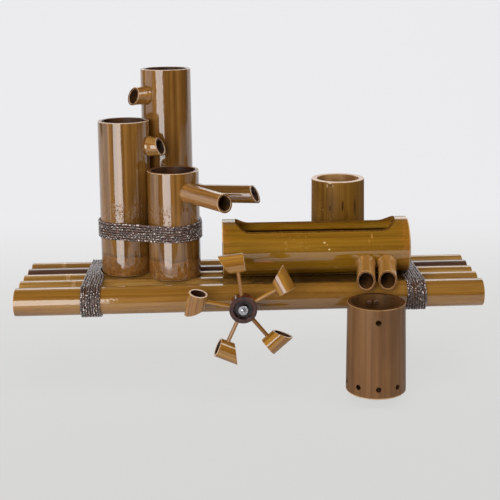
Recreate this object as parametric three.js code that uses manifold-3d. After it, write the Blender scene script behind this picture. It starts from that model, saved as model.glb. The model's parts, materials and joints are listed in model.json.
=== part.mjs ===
// A bamboo cascade water feature, made to lie across the rim of a tank or basin. Three bound pots
// pass water from spout to spout, into a planted trough with a filter pot below it, and onto a
// waterwheel, all carried by a raft of five lashed poles.
// Millimetres, +Z up. +X runs to the right along the raft and -Y faces the viewer. The origin is
// the middle of the raft, level with the underside of its thick front pole.
import * as THREE from 'three';
import { mergeVertices } from 'three/addons/utils/BufferGeometryUtils.js';
import Module from 'manifold-3d';

const wasm = await Module();
wasm.setup();

const degrees = THREE.MathUtils.degToRad;

// Values shared by all pieces
const clearance = 0.3; // between two pieces that touch
const overrun = 5; // how far a cut runs past the face it opens
const weldTolerance = 1e-4;
const rimBevel = 0.8; // broken edge of a sawn end
const nodeRidge = 0.5; // how proud a wide culm's node ring stands
const poleRidge = 0.4; // the same on a pole
const nodeHalfWidth = 4;
const diaphragm = 5; // thickness of the natural wall inside a node
const poleSides = 16;
const potSides = 24;
const tubeSides = 12;
const smallSides = 10;

// Raft
const raftLength = 600;
const frontPoleRadius = 17.8;
const frontPoleWall = 4.5;
const thinPoleRadius = 14.1;
const thinPoleWall = 3.8;
// Places of the nodes along each pole, front to back, as shares of its length from the left end
const poleNodeShares = [
  [0.123, 0.615],
  [0.116, 0.6],
  [0.097, 0.57],
  [0.084, 0.63],
  [0.073, 0.55],
];
const thinPoleNames = ['second_pole', 'third_pole', 'fourth_pole', 'back_pole'];

// Pots: radius at the rim, radius at the foot, wall and height
const frontPot = { rim: 33.9, foot: 34.4, wall: 5, height: 140.5 };
const leftPotStep = 62.9; // how much higher each rim stands than the rim that it feeds
const tallestPotStep = 64.7;
const leftPot = { rim: 33.9, foot: 34.4, wall: 5, height: frontPot.height + leftPotStep };
const tallestPot = { rim: 33.9, foot: 34.4, wall: 5, height: leftPot.height + tallestPotStep };
const backCup = { rim: 36.7, foot: 37.4, wall: 7.4, height: 113 };
const filterPot = { rim: 36.5, foot: 38, wall: 5.5, height: 113 };
const potNodeHeight = 26; // the node that closes a pot, above its foot
const cupNodeHeight = 18;
const filterNodeHeight = 6;
const leftPotX = -165;
const leftPotBack = 77.4; // behind the front pole's axis
const frontPotBearing = degrees(-21.3); // seen from the left pot, from +X towards +Y
const tallestPotBearing = degrees(39.1);
const backCupFromRight = 83.6; // its axis, from the trough's right end

// Trough
const troughLeft = -36.8;
const troughLength = 245.1;
const troughRadius = 37.4;
const troughWall = 5.5;
const troughEndRecess = 9; // open end outside the closing node
const troughCutDepth = 10.5; // the top opening, below the crown
const troughCutInset = 17; // from the trough's ends to the opening's upper corners
const troughCutSlope = 19.5; // how much shorter the opening is at its floor, at each end
const leftCutBendShare = 0.5; // where each sloping end of the opening bends, along the slope
const rightCutBendShare = 0.67;

// Spouts
const spoutRadius = 12;
const spoutWall = 2.5;
const spoutInset = 2; // how far a spout's root stands inside its pot
const tallestSpoutDrop = 33.3; // from the pot's rim down to the spout's axis
const tallestSpoutReach = 19.2; // from the pot's wall to the middle of the mouth
const tallestSpoutTilt = degrees(1);
const leftSpoutDrop = 32.1;
const leftSpoutReach = 15.8;
const leftSpoutTilt = degrees(3);
const leftSpoutAzimuth = degrees(-10);
const wheelSpoutDrop = 25.6;
const wheelSpoutTilt = degrees(1.7);
const wheelSpoutAzimuth = degrees(-51);
const wheelSpoutLead = 20.7; // from the wheel's axis back to the mouth, along X
const rearSpoutDrop = 31;
const rearSpoutTilt = degrees(0.2);
const rearSpoutAzimuth = degrees(-5);
const rearSpoutOverhang = 44.7; // how far its mouth reaches past the trough's left end
const shortSpoutSlant = degrees(8); // the mouth's cut, with the lower lip longer
const wheelSpoutSlant = degrees(12);
const rearSpoutSlant = degrees(24);
const troughSpoutSlant = degrees(26);
const troughSpoutTilt = degrees(19);
const troughSpoutYaw = degrees(-7);
const troughSpoutGap = 3.7; // between the two spouts
const troughSpoutFromRight = 40.6; // from the trough's right end to the middle of the pair
const troughSpoutLip = 1.2; // how far the lower lip hangs inside the filter pot
const troughSpoutLift = 0.5; // from the front pole to the spouts lying on it

// Filter pot
const filterPotFromRight = 54.6; // its axis, from the trough's right end
const filterRimRise = 7.3; // from the front pole's axis up to the rim
const driverHoleRadius = 3.6;
const driverHoleDrop = 16;
const driverHoleTurn = degrees(-4); // towards the right, as seen by the viewer
const weepHoleRadius = 3.4;
const weepHoleCount = 9;
const weepHoleRise = 12.7;
const weepHoleTurn = degrees(-3); // of the hole nearest the viewer, towards the right
const filterScrewSpacing = 9;
const filterScrewDrop = 10.5;

// Screws and washers: radii and lengths
const filterScrew = { shank: 1.6, length: 20, head: 3.2, headHeight: 2, slot: 0.9, tip: 4 };
const axleScrew = { shank: 2, length: 52, head: 3.6, headHeight: 2.6, slot: 1, tip: 6 };
const screwCrownShare = 0.55; // height of a head's domed part, in the head's height
const screwFlatShare = 0.6; // radius of the flat on top, in the head's radius
const screwSlotShare = 1.3; // length of the cross slots, in the head's radius
const washerRadius = 6;
const washerThickness = 1;
const spacerRadius = 4.5;

// Water inlet of the tallest pot
const inletRadius = 6;
const inletBoreRadius = 4;
const inletHeight = 40; // above the pot's foot
const inletProud = 14;
const grommetRadius = 7.2;
const grommetFlangeRadius = 8.8;
const grommetFlange = 2;

// Waterwheel
const wheelX = -11.5;
const wheelDrop = 1.5; // its axis below the front pole's axis
const wheelStandOff = 16; // from the front pole to the hub
const hubRadius = 17.5;
const hubWall = 5.6;
const hubThickness = 16;
const hubWeb = 4;
const bushRadius = 4;
const spokeRadius = 2.6;
const bucketCircle = 58.5; // from the wheel's axis to the middle of a bucket
const bucketRadius = 12;
const bucketWall = 2.4;
const bucketMouth = 9; // from the spoke to the square mouth
const bucketHeel = 9; // from the spoke to the slanted end, on the inner side
const bucketTip = 23; // from the spoke to the slanted end, on the outer side
const bucketWebStart = 3.6; // from the spoke to the natural wall inside
const bucketWeb = 2.4;
// Three spokes stand where the maker set them, and the last two balance the wheel.
const setSpokeAngles = [28.9, 96.7, 168.1].map(degrees);
// How far each bucket is turned on its spoke, its slanted end towards the back
const bucketTwists = [15, 0, 8.5, 4, 5.5].map(degrees);

// Cord lashings
const cordRadius = 1.35;
const cordPitch = 3.25;
const cordSides = 6;
const raftLoops = 8;
const leftLashingSkewShare = 0.096; // how far it leans left, in its run to the back, to clear the pot
const potLoops = 7;
const potLashingHeight = 61.8; // its middle, above the pots' feet
const rightLashingPastTrough = 2.5; // its middle, from the trough's right end
const raftArcSteps = 8;
const raftStraightSteps = 4;
const potArcSteps = 6;
const potStraightSteps = 2;
const tuckBendShare = 0.6; // how deep a tucked end's bend is, in the cord's thickness
const tuckStraightShare = 1; // the straight end beyond the bend
const tuckCornerShare = 0.3; // how far the bend is rounded, in its depth

// Finishes
const finish = (name, color, roughness, metalness = 0) => {
  const material = new THREE.MeshStandardMaterial({ color, roughness, metalness });
  material.name = name;
  return material;
};
const potBamboo = finish('pot_bamboo', 0x7c5524, 0.25);
const poleBamboo = finish('pole_bamboo', 0x87602a, 0.3);
const troughBamboo = finish('trough_bamboo', 0x7d5a18, 0.3);
const filterBamboo = finish('filter_bamboo', 0x6f4e2e, 0.45);
const spoutBamboo = finish('spout_bamboo', 0x8a5f2e, 0.25);
const wheelBamboo = finish('wheel_bamboo', 0x94642c, 0.25);
const hubBamboo = finish('hub_bamboo', 0x4a2a1c, 0.4);
const lashingCord = finish('lashing_cord', 0x4a3b32, 0.5);
const steel = finish('screw_steel', 0xc9ccd0, 0.25, 1);
const hubBushPlastic = finish('bush_plastic', 0x24201e, 0.5);
const inletPlastic = finish('inlet_plastic', 0x2b2b2b, 0.5);
const inletRubber = finish('inlet_rubber', 0x1d1d1d, 0.8);

// Solids
const model = new THREE.Group();
const along = {
  x: new THREE.Matrix4().makeRotationZ(-Math.PI / 2),
  y: new THREE.Matrix4(),
  z: new THREE.Matrix4().makeRotationX(Math.PI / 2),
};

function solidOf(geometry) {
  const bare = geometry.clone();
  bare.deleteAttribute('normal');
  bare.deleteAttribute('uv');
  const merged = mergeVertices(bare, weldTolerance);
  return new wasm.Manifold(new wasm.Mesh({
    numProp: 3,
    vertProperties: new Float32Array(merged.attributes.position.array),
    triVerts: new Uint32Array(merged.index.array),
  }));
}

function geometryOf(solid) {
  const mesh = solid.getMesh();
  const geometry = new THREE.BufferGeometry();
  geometry.setAttribute('position', new THREE.BufferAttribute(mesh.vertProperties, mesh.numProp));
  geometry.setIndex(new THREE.BufferAttribute(mesh.triVerts, 1));
  geometry.computeVertexNormals();
  return geometry;
}

// A turned solid: the profile holds [radius, distance along the axis] points.
function turned(profile, sides, axis = 'y') {
  const points = profile.map(([radius, distance]) => new THREE.Vector2(radius, distance));
  return solidOf(new THREE.LatheGeometry(points, sides).applyMatrix4(along[axis]));
}

function rod(radius, start, end, sides, axis = 'x') {
  return turned([[0, start], [radius, start], [radius, end], [0, end]], sides, axis);
}

function pipe(outer, inner, start, end, sides, axis = 'x') {
  return turned([[inner, start], [outer, start], [outer, end], [inner, end], [inner, start]], sides, axis);
}

function block(sizeX, sizeY, sizeZ, x, y, z) {
  return solidOf(new THREE.BoxGeometry(sizeX, sizeY, sizeZ).translate(x, y, z));
}

function frameAt(x, y, z, azimuth = 0, tilt = 0, parent = model) {
  const frame = new THREE.Group();
  frame.position.set(x, y, z);
  frame.rotation.set(0, tilt, azimuth, 'ZYX');
  parent.add(frame);
  frame.updateWorldMatrix(true, false);
  return frame;
}

function addPiece(name, solid, material, frame) {
  const mesh = new THREE.Mesh(geometryOf(solid), material);
  mesh.name = name;
  frame.add(mesh);
}

// A solid drawn in one frame, as it lies in another.
function seenFrom(host, frame, solid) {
  const relative = host.matrixWorld.clone().invert().multiply(frame.matrixWorld);
  return solid.transform(relative.elements);
}

// Culms
const radiusAlong = (culm, distance) => culm.foot + (culm.rim - culm.foot) * (distance / culm.height);

// The profile of a culm from foot to rim: footBore and rimBore are the depths of its open ends.
function culmProfile(culm, nodes, ridge, footBore, rimBore) {
  const outer = (distance) => radiusAlong(culm, distance);
  const inner = (distance) => outer(distance) - culm.wall;
  const top = culm.height;
  const profile = footBore ? [[0, footBore], [inner(footBore), footBore], [inner(0), 0]] : [[0, 0]];
  profile.push([outer(0) - rimBevel, 0], [outer(0), rimBevel]);
  for (const node of nodes) {
    profile.push([outer(node - nodeHalfWidth), node - nodeHalfWidth]);
    profile.push([outer(node) + ridge, node]);
    profile.push([outer(node + nodeHalfWidth), node + nodeHalfWidth]);
  }
  profile.push([outer(top), top - rimBevel], [outer(top) - rimBevel, top]);
  profile.push([inner(top), top], [inner(top - rimBore), top - rimBore], [0, top - rimBore]);
  return profile;
}

// A pot stands on its foot, closed by the node at nodeHeight and open above and below it.
function potSolid(pot, nodeHeight, ringed = true) {
  const footBore = Math.max(0, nodeHeight - diaphragm / 2);
  const rimBore = pot.height - nodeHeight - diaphragm / 2;
  return turned(culmProfile(pot, ringed ? [nodeHeight] : [], nodeRidge, footBore, rimBore), potSides, 'z');
}

// Raft: the poles' node rings touch
const poleGap = 2 * poleRidge + clearance;
const poleRadii = [frontPoleRadius, ...thinPoleNames.map(() => thinPoleRadius)];
const raftDepth = poleRadii.reduce((sum, radius) => sum + 2 * radius + poleGap, -poleGap);
const crestZ = 2 * frontPoleRadius; // the poles' tops lie level
const standZ = crestZ + clearance;
const poles = [];
let poleEdge = -raftDepth / 2;
for (const radius of poleRadii) {
  poles.push({ y: poleEdge + radius, z: crestZ - radius, radius });
  poleEdge += 2 * radius + poleGap;
}
const frontPole = poles[0];
const back = (distance) => frontPole.y + distance;

// The two open ends of a pole reach to its outer nodes.
function poleSolid(radius, wall, nodeShares) {
  const nodes = nodeShares.map((share) => share * raftLength);
  const culm = { rim: radius, foot: radius, wall, height: raftLength };
  const leftBore = nodes[0] - diaphragm / 2;
  const rightBore = raftLength - nodes[nodes.length - 1] - diaphragm / 2;
  return turned(culmProfile(culm, nodes, poleRidge, leftBore, rightBore), poleSides, 'x');
}
const poleFrames = poles.map((pole) => frameAt(-raftLength / 2, pole.y, pole.z));

// Pots: the front and the tallest pot each touch the left pot
const besideLeftPot = (pot, bearing) => {
  const ringRadii = radiusAlong(leftPot, potNodeHeight) + radiusAlong(pot, potNodeHeight);
  const distance = ringRadii + 2 * nodeRidge + clearance;
  return [leftPotX + distance * Math.cos(bearing), back(leftPotBack) + distance * Math.sin(bearing)];
};
const [frontPotX, frontPotY] = besideLeftPot(frontPot, frontPotBearing);
const [tallestPotX, tallestPotY] = besideLeftPot(tallestPot, tallestPotBearing);
const leftFrame = frameAt(leftPotX, back(leftPotBack), standZ);
const frontFrame = frameAt(frontPotX, frontPotY, standZ);
const tallestFrame = frameAt(tallestPotX, tallestPotY, standZ);

// Trough: it lies in the groove between the second and third poles
const grooveHalf = (poles[2].y - poles[1].y) / 2;
const troughSeat = troughRadius + nodeRidge + thinPoleRadius + poleRidge + clearance;
const troughY = (poles[1].y + poles[2].y) / 2;
const troughRight = troughLeft + troughLength;
const troughZ = poles[1].z + Math.sqrt(troughSeat ** 2 - grooveHalf ** 2);
const troughFrame = frameAt(troughLeft, troughY, troughZ);
const cupY = troughY + troughRadius + nodeRidge + clearance + backCup.foot;
const cupFrame = frameAt(troughRight - backCupFromRight, cupY, standZ);

// Filter pot: it hangs against the front pole
const filterPotX = troughRight - filterPotFromRight;
const filterFootZ = frontPole.z + filterRimRise - filterPot.height;
const filterContact = radiusAlong(filterPot, frontPole.z - filterFootZ);
const filterY = frontPole.y - frontPoleRadius - clearance - filterContact;
const filterFrame = frameAt(filterPotX, filterY, filterFootZ);
const filterInner = (height) => radiusAlong(filterPot, height) - filterPot.wall;

// Spouts: each runs along its own +X from the axis of the culm that holds it to its mouth. The
// lower lip is the longer one.
function spoutSolid(root, mouth, slant) {
  const lip = spoutRadius * Math.tan(slant);
  const tube = pipe(spoutRadius, spoutRadius - spoutWall, root, mouth + lip + overrun, tubeSides);
  const size = 4 * (spoutRadius + overrun);
  const beyond = new THREE.BoxGeometry(size, size, size).translate(size / 2, 0, 0);
  return tube.subtract(solidOf(beyond.rotateY(-slant).translate(mouth, 0, 0)));
}
const spoutHole = (mouth) => rod(spoutRadius + clearance, 0, mouth, tubeSides);

function addPotSpout(name, pot, potFrame, drop, azimuth, tilt, mouth, slant) {
  const { x, y } = potFrame.position;
  const frame = frameAt(x, y, standZ + pot.height - drop, azimuth, tilt);
  const root = radiusAlong(pot, pot.height - drop) - pot.wall - spoutInset;
  addPiece(name, spoutSolid(root, mouth, slant), spoutBamboo, frame);
  return seenFrom(potFrame, frame, spoutHole(mouth));
}

const wallAt = (pot, drop) => radiusAlong(pot, pot.height - drop);
const tallestHole = addPotSpout('tallest_pot_spout', tallestPot, tallestFrame, tallestSpoutDrop,
  tallestPotBearing + Math.PI, tallestSpoutTilt,
  wallAt(tallestPot, tallestSpoutDrop) + tallestSpoutReach, shortSpoutSlant);
const leftHole = addPotSpout('left_pot_spout', leftPot, leftFrame, leftSpoutDrop,
  leftSpoutAzimuth, leftSpoutTilt, wallAt(leftPot, leftSpoutDrop) + leftSpoutReach, shortSpoutSlant);
const wheelMouth = (wheelX - wheelSpoutLead - frontPotX) / Math.cos(wheelSpoutAzimuth);
const wheelHole = addPotSpout('wheel_spout', frontPot, frontFrame, wheelSpoutDrop,
  wheelSpoutAzimuth, wheelSpoutTilt, wheelMouth, wheelSpoutSlant);
const rearMouth = (troughLeft + rearSpoutOverhang - frontPotX) / Math.cos(rearSpoutAzimuth);
const rearHole = addPotSpout('trough_feed_spout', frontPot, frontFrame, rearSpoutDrop,
  rearSpoutAzimuth, rearSpoutTilt, rearMouth, rearSpoutSlant);

// Water inlet through the back of the tallest pot
const inletFrame = frameAt(tallestPotX, tallestPotY, standZ + inletHeight, Math.PI / 2);
const inletWall = radiusAlong(tallestPot, inletHeight);
const inletRoot = inletWall - tallestPot.wall - spoutInset;
const grommetSeat = inletWall + clearance;
const inletEnd = grommetSeat + grommetFlange + inletProud;
addPiece('inlet_nipple', pipe(inletRadius, inletBoreRadius, inletRoot, inletEnd, smallSides),
  inletPlastic, inletFrame);
const grommetBore = inletRadius + clearance;
addPiece('inlet_grommet', turned([
  [grommetBore, inletRoot], [grommetRadius, inletRoot], [grommetRadius, grommetSeat],
  [grommetFlangeRadius, grommetSeat], [grommetFlangeRadius, grommetSeat + grommetFlange],
  [grommetBore, grommetSeat + grommetFlange], [grommetBore, inletRoot],
], smallSides, 'x'), inletRubber, inletFrame);
const inletHole = seenFrom(tallestFrame, inletFrame,
  rod(grommetRadius + clearance, 0, inletEnd, smallSides));

addPiece('left_pot', potSolid(leftPot, potNodeHeight).subtract(leftHole), potBamboo, leftFrame);
addPiece('front_pot', potSolid(frontPot, potNodeHeight).subtract(wheelHole).subtract(rearHole),
  potBamboo, frontFrame);
addPiece('tallest_pot', potSolid(tallestPot, potNodeHeight).subtract(tallestHole).subtract(inletHole),
  potBamboo, tallestFrame);
addPiece('back_cup', potSolid(backCup, cupNodeHeight), potBamboo, cupFrame);

// Lashings round the raft: the left one lies hard against the left pot
const raftLashingWidth = raftLoops * cordPitch + 2 * cordRadius;
const leftLashingX = leftPotX - leftPot.foot - nodeRidge - clearance - raftLashingWidth / 2;
const rightLashingX = troughRight + rightLashingPastTrough;
const cordOff = poleRidge + clearance + cordRadius; // from a pole to the middle of the cord
const cordCircle = (frontPoleRadius + cordOff) / Math.cos(Math.PI / (2 * raftArcSteps));
const cordTopZ = frontPole.z + cordCircle + cordRadius;

// The trough's underside is notched where the right lashing passes below it.
function troughSolid() {
  const culm = { rim: troughRadius, foot: troughRadius, wall: troughWall, height: troughLength };
  const closing = troughEndRecess + diaphragm / 2;
  const ends = [closing, troughLength - closing];
  let solid = turned(culmProfile(culm, ends, nodeRidge, troughEndRecess, troughEndRecess), potSides, 'x');
  const chamberStart = troughEndRecess + diaphragm;
  const chamber = rod(troughRadius - troughWall, chamberStart, troughLength - chamberStart, potSides);
  solid = solid.subtract(chamber);

  const floorZ = troughRadius - troughCutDepth;
  const topZ = troughRadius + overrun;
  const left = troughCutInset;
  const right = troughLength - troughCutInset;
  const opening = new THREE.Shape();
  opening.moveTo(left, topZ);
  opening.lineTo(left, troughRadius);
  opening.quadraticCurveTo(left + leftCutBendShare * troughCutSlope, floorZ, left + troughCutSlope, floorZ);
  opening.lineTo(right - troughCutSlope, floorZ);
  opening.quadraticCurveTo(right - (1 - rightCutBendShare) * troughCutSlope, floorZ, right, troughRadius);
  opening.lineTo(right, topZ);
  const across = 2 * (troughRadius + overrun);
  const cut = new THREE.ExtrudeGeometry(opening, { depth: across, bevelEnabled: false, curveSegments: 4 });
  cut.applyMatrix4(along.z).translate(0, across / 2, 0);
  solid = solid.subtract(solidOf(cut));

  const notchStart = rightLashingX - raftLashingWidth / 2 - clearance - troughLeft;
  const notchLength = troughLength + overrun - notchStart;
  const notchTop = cordTopZ + clearance - troughZ;
  const notchHeight = troughRadius + overrun + notchTop;
  return solid.subtract(block(notchLength, 2 * troughRadius, notchHeight,
    notchStart + notchLength / 2, 0, notchTop - notchHeight / 2));
}

// The trough's two spouts lie on the front pole and end over the filter pot.
const spoutSide = (spoutRadius * 2 + troughSpoutGap) / 2;
const spoutRise = (frontPoleRadius + spoutRadius + troughSpoutLift) / Math.cos(troughSpoutTilt);
const spoutAxisZ = frontPole.z + spoutRise + (troughY - frontPole.y) * Math.tan(troughSpoutTilt);
const rimRear = filterY + filterPot.rim - filterPot.wall;
const lowerLipY = rimRear - troughSpoutLip - spoutRadius * Math.sin(troughSpoutTilt);
const lipLength = spoutRadius * Math.tan(troughSpoutSlant) * Math.cos(troughSpoutTilt);
const troughMouth = (troughY - lowerLipY - lipLength) / Math.cos(troughSpoutTilt);
let trough = troughSolid();
['trough_left_spout', 'trough_right_spout'].forEach((name, index) => {
  const side = (2 * index - 1) * spoutSide;
  const x = troughRight - troughSpoutFromRight + side;
  const azimuth = -Math.PI / 2 + troughSpoutYaw;
  const frame = frameAt(x, troughY, spoutAxisZ, azimuth, troughSpoutTilt);
  const root = troughRadius - troughWall - spoutInset;
  addPiece(name, spoutSolid(root, troughMouth, troughSpoutSlant), spoutBamboo, frame);
  trough = trough.subtract(seenFrom(troughFrame, frame, spoutHole(troughMouth)));
});
addPiece('trough', trough, troughBamboo, troughFrame);

// Screws: the head's underside is at the start of the local Y axis and the tip points along +Y
function screwSolid(screw) {
  const crown = screwCrownShare * screw.headHeight;
  const solid = turned([
    [0, -screw.headHeight], [screwFlatShare * screw.head, -screw.headHeight], [screw.head, -crown],
    [screw.head, 0], [screw.shank, 0], [screw.shank, screw.length - screw.tip], [0, screw.length],
  ], smallSides);
  const span = screwSlotShare * screw.head;
  const top = -screw.headHeight;
  return solid
    .subtract(block(span, screw.headHeight, screw.slot, 0, top, 0))
    .subtract(block(screw.slot, screw.headHeight, span, 0, top, 0));
}
const screwHole = (screw) => rod(screw.shank + clearance, 0, screw.length + clearance, smallSides, 'y');

// Filter pot, with its weep holes, its driver hole and two screws through its back
let filterSolid = potSolid(filterPot, filterNodeHeight, false);
for (let index = 0; index < weepHoleCount; index += 1) {
  const azimuth = -Math.PI / 2 + weepHoleTurn + (index * 2 * Math.PI) / weepHoleCount;
  const frame = frameAt(0, 0, weepHoleRise, azimuth, 0, filterFrame);
  const hole = rod(weepHoleRadius, 0, filterPot.foot + overrun, smallSides);
  filterSolid = filterSolid.subtract(seenFrom(filterFrame, frame, hole));
  filterFrame.remove(frame);
}
const driverHole = rod(driverHoleRadius, -filterPot.foot - overrun, 0, smallSides, 'y');
const driverFrame = frameAt(0, 0, filterPot.height - driverHoleDrop, driverHoleTurn, 0, filterFrame);
filterSolid = filterSolid.subtract(seenFrom(filterFrame, driverFrame, driverHole));
filterFrame.remove(driverFrame);

let frontPoleSolid = poleSolid(frontPoleRadius, frontPoleWall, poleNodeShares[0]);
const screwHeight = filterPot.height - filterScrewDrop;
const screwEdge = filterScrewSpacing / 2 + filterScrew.head;
const flatInner = filterInner(screwHeight) * Math.cos(Math.PI / potSides);
const screwSeat = Math.sqrt(flatInner ** 2 - screwEdge ** 2) - clearance;
['filter_screw_left', 'filter_screw_right'].forEach((name, index) => {
  const x = filterPotX + (index - 0.5) * filterScrewSpacing;
  const frame = frameAt(x, filterY + screwSeat, filterFootZ + screwHeight);
  addPiece(name, screwSolid(filterScrew), steel, frame);
  filterSolid = filterSolid.subtract(seenFrom(filterFrame, frame, screwHole(filterScrew)));
  frontPoleSolid = frontPoleSolid.subtract(seenFrom(poleFrames[0], frame, screwHole(filterScrew)));
});
addPiece('filter_pot', filterSolid, filterBamboo, filterFrame);

// Waterwheel: it turns about Y on the screw that holds it to the front pole
const wheelBackY = frontPole.y - frontPoleRadius - wheelStandOff;
const wheelFrame = frameAt(wheelX, wheelBackY - hubThickness / 2, frontPole.z - wheelDrop);
const hubHalf = hubThickness / 2;
const ringInner = hubRadius - hubWall;
const webBore = bushRadius + clearance;
let hub = turned([
  [webBore, -hubWeb / 2], [ringInner, -hubWeb / 2], [ringInner, -hubHalf],
  [hubRadius - rimBevel, -hubHalf], [hubRadius, -hubHalf + rimBevel],
  [hubRadius, hubHalf - rimBevel], [hubRadius - rimBevel, hubHalf],
  [ringInner, hubHalf], [ringInner, hubWeb / 2], [webBore, hubWeb / 2], [webBore, -hubWeb / 2],
], potSides);

const firstSum = setSpokeAngles.reduce(
  (sum, angle) => sum.add(new THREE.Vector2(Math.cos(angle), Math.sin(angle))), new THREE.Vector2());
const towardsBalance = Math.atan2(-firstSum.y, -firstSum.x);
const balanceSpread = Math.acos(firstSum.length() / 2);
const spokeAngles = [...setSpokeAngles, towardsBalance - balanceSpread, towardsBalance + balanceSpread];

// A bucket lies along its local Z: a square mouth below the spoke, a slanted end above it.
function bucketSolid() {
  const inner = bucketRadius - bucketWall;
  const tube = pipe(bucketRadius, inner, -bucketMouth, bucketTip, tubeSides, 'z');
  const web = rod(inner + bucketWall / 2, bucketWebStart, bucketWebStart + bucketWeb, tubeSides, 'z');
  const slant = Math.atan2(bucketTip - bucketHeel, 2 * bucketRadius);
  const size = 4 * bucketTip;
  const middle = (bucketTip + bucketHeel) / 2;
  const beyond = new THREE.BoxGeometry(size, size, size).translate(0, 0, size / 2);
  return tube.add(web).subtract(solidOf(beyond.rotateY(-slant).translate(0, 0, middle)));
}

const spokeRoot = ringInner + clearance;
const spokeEnd = bucketCircle - bucketRadius + bucketWall - clearance;
const spokeSocket = rod(spokeRadius + clearance, ringInner, bucketCircle, smallSides);
spokeAngles.forEach((angle, index) => {
  const spokeFrame = new THREE.Group();
  spokeFrame.rotation.y = -angle;
  wheelFrame.add(spokeFrame);
  spokeFrame.updateWorldMatrix(true, false);
  addPiece(`wheel_spoke_${index + 1}`, rod(spokeRadius, spokeRoot, spokeEnd, smallSides),
    wheelBamboo, spokeFrame);
  hub = hub.subtract(seenFrom(wheelFrame, spokeFrame, spokeSocket));
  const bucketFrame = new THREE.Group();
  bucketFrame.position.x = bucketCircle;
  bucketFrame.rotation.x = -bucketTwists[index];
  spokeFrame.add(bucketFrame);
  bucketFrame.updateWorldMatrix(true, false);
  const socket = seenFrom(bucketFrame, spokeFrame, spokeSocket);
  addPiece(`wheel_bucket_${index + 1}`, bucketSolid().subtract(socket), wheelBamboo, bucketFrame);
});
addPiece('wheel_hub', hub, hubBamboo, wheelFrame);
const bushHalf = hubHalf + clearance;
const axleBore = axleScrew.shank + clearance;
addPiece('wheel_bush', pipe(bushRadius, axleBore, -bushHalf, bushHalf, smallSides, 'y'),
  hubBushPlastic, wheelFrame);

// Axle: washer, bush, washer and spacer are threaded on the screw, from the front to the pole
const frontWasher = -bushHalf - clearance - washerThickness;
const backWasher = bushHalf + clearance;
const spacerStart = backWasher + washerThickness + clearance;
const spacerEnd = hubHalf + wheelStandOff - clearance;
const washerSolid = (start) => (
  pipe(washerRadius, axleBore, start, start + washerThickness, smallSides, 'y'));
addPiece('front_washer', washerSolid(frontWasher), steel, wheelFrame);
addPiece('back_washer', washerSolid(backWasher), steel, wheelFrame);
addPiece('axle_spacer',
  pipe(spacerRadius, axleBore, spacerStart, spacerEnd, smallSides, 'y'), hubBushPlastic, wheelFrame);
const axleFrame = frameAt(0, frontWasher - clearance, 0, 0, 0, wheelFrame);
addPiece('axle_screw', screwSolid(axleScrew), steel, axleFrame);
frontPoleSolid = frontPoleSolid.subtract(seenFrom(poleFrames[0], axleFrame, screwHole(axleScrew)));

addPiece('front_pole', frontPoleSolid, poleBamboo, poleFrames[0]);
thinPoleNames.forEach((name, index) => {
  const solid = poleSolid(thinPoleRadius, thinPoleWall, poleNodeShares[index + 1]);
  addPiece(name, solid, poleBamboo, poleFrames[index + 1]);
});

// Lashings: one unbroken cord wound round circles, with both ends tucked inwards on a hidden side
function tangentAngle(from, to) {
  const distance = Math.hypot(to.u - from.u, to.v - from.v);
  return Math.atan2(to.v - from.v, to.u - from.u) - Math.acos((from.radius - to.radius) / distance);
}

// The stations of one loop, from the middle of the straight between the last circle and the first.
function loopStations(circles, arcSteps, straightSteps) {
  const stations = [];
  circles.forEach((circle, index) => {
    const before = circles[(index + circles.length - 1) % circles.length];
    const start = tangentAngle(before, circle);
    let sweep = tangentAngle(circle, circles[(index + 1) % circles.length]) - start;
    while (sweep < 0) sweep += 2 * Math.PI;
    const radius = circle.radius / Math.cos(sweep / arcSteps / 2);
    for (let step = 0; step <= arcSteps; step += 1) {
      const angle = start + (step * sweep) / arcSteps;
      const spot = new THREE.Vector2(Math.cos(angle), Math.sin(angle)).multiplyScalar(radius);
      stations.push(spot.add(new THREE.Vector2(circle.u, circle.v)));
    }
  });
  const spread = [];
  stations.forEach((station, index) => {
    spread.push(station);
    if (index % (arcSteps + 1) !== arcSteps) return;
    const next = stations[(index + 1) % stations.length];
    for (let step = 1; step < straightSteps; step += 1) {
      spread.push(station.clone().lerp(next, step / straightSteps));
    }
  });
  const middle = spread.length - straightSteps / 2;
  return [...spread.slice(middle), ...spread.slice(0, middle)];
}

// lift turns a place in the circles' plane and a distance along the winding into a point.
function windingPoints(circles, loops, arcSteps, straightSteps, lift) {
  const stations = loopStations(circles, arcSteps, straightSteps);
  const count = stations.length;
  const start = (-loops * cordPitch) / 2;
  const points = [];
  for (let index = 0; index <= loops * count; index += 1) {
    const { x, y } = stations[index % count];
    points.push(lift(x, y, start + (cordPitch * index) / count));
  }
  const run = stations[1].clone().sub(stations[0]).normalize();
  const inward = new THREE.Vector2(-run.y, run.x);
  const tuck = (depth, side, distance) => {
    const place = stations[0].clone().addScaledVector(inward, depth).addScaledVector(run, side);
    return lift(place.x, place.y, distance);
  };
  const bend = tuckBendShare * 2 * cordRadius;
  const deep = bend + tuckStraightShare * 2 * cordRadius;
  const corner = tuckCornerShare * bend;
  points[0] = tuck(corner, corner, start);
  points.unshift(tuck(deep, 0, start), tuck(bend, 0, start));
  points[points.length - 1] = tuck(corner, -corner, -start);
  points.push(tuck(bend, 0, -start), tuck(deep, 0, -start));
  return { points, count };
}

function leastGap({ points, count }) {
  let least = Infinity;
  for (let first = 0; first < points.length; first += 1) {
    for (let second = first + count / 2; second < points.length; second += 1) {
      least = Math.min(least, points[first].distanceTo(points[second]));
    }
  }
  return least - 2 * cordRadius;
}

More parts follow.
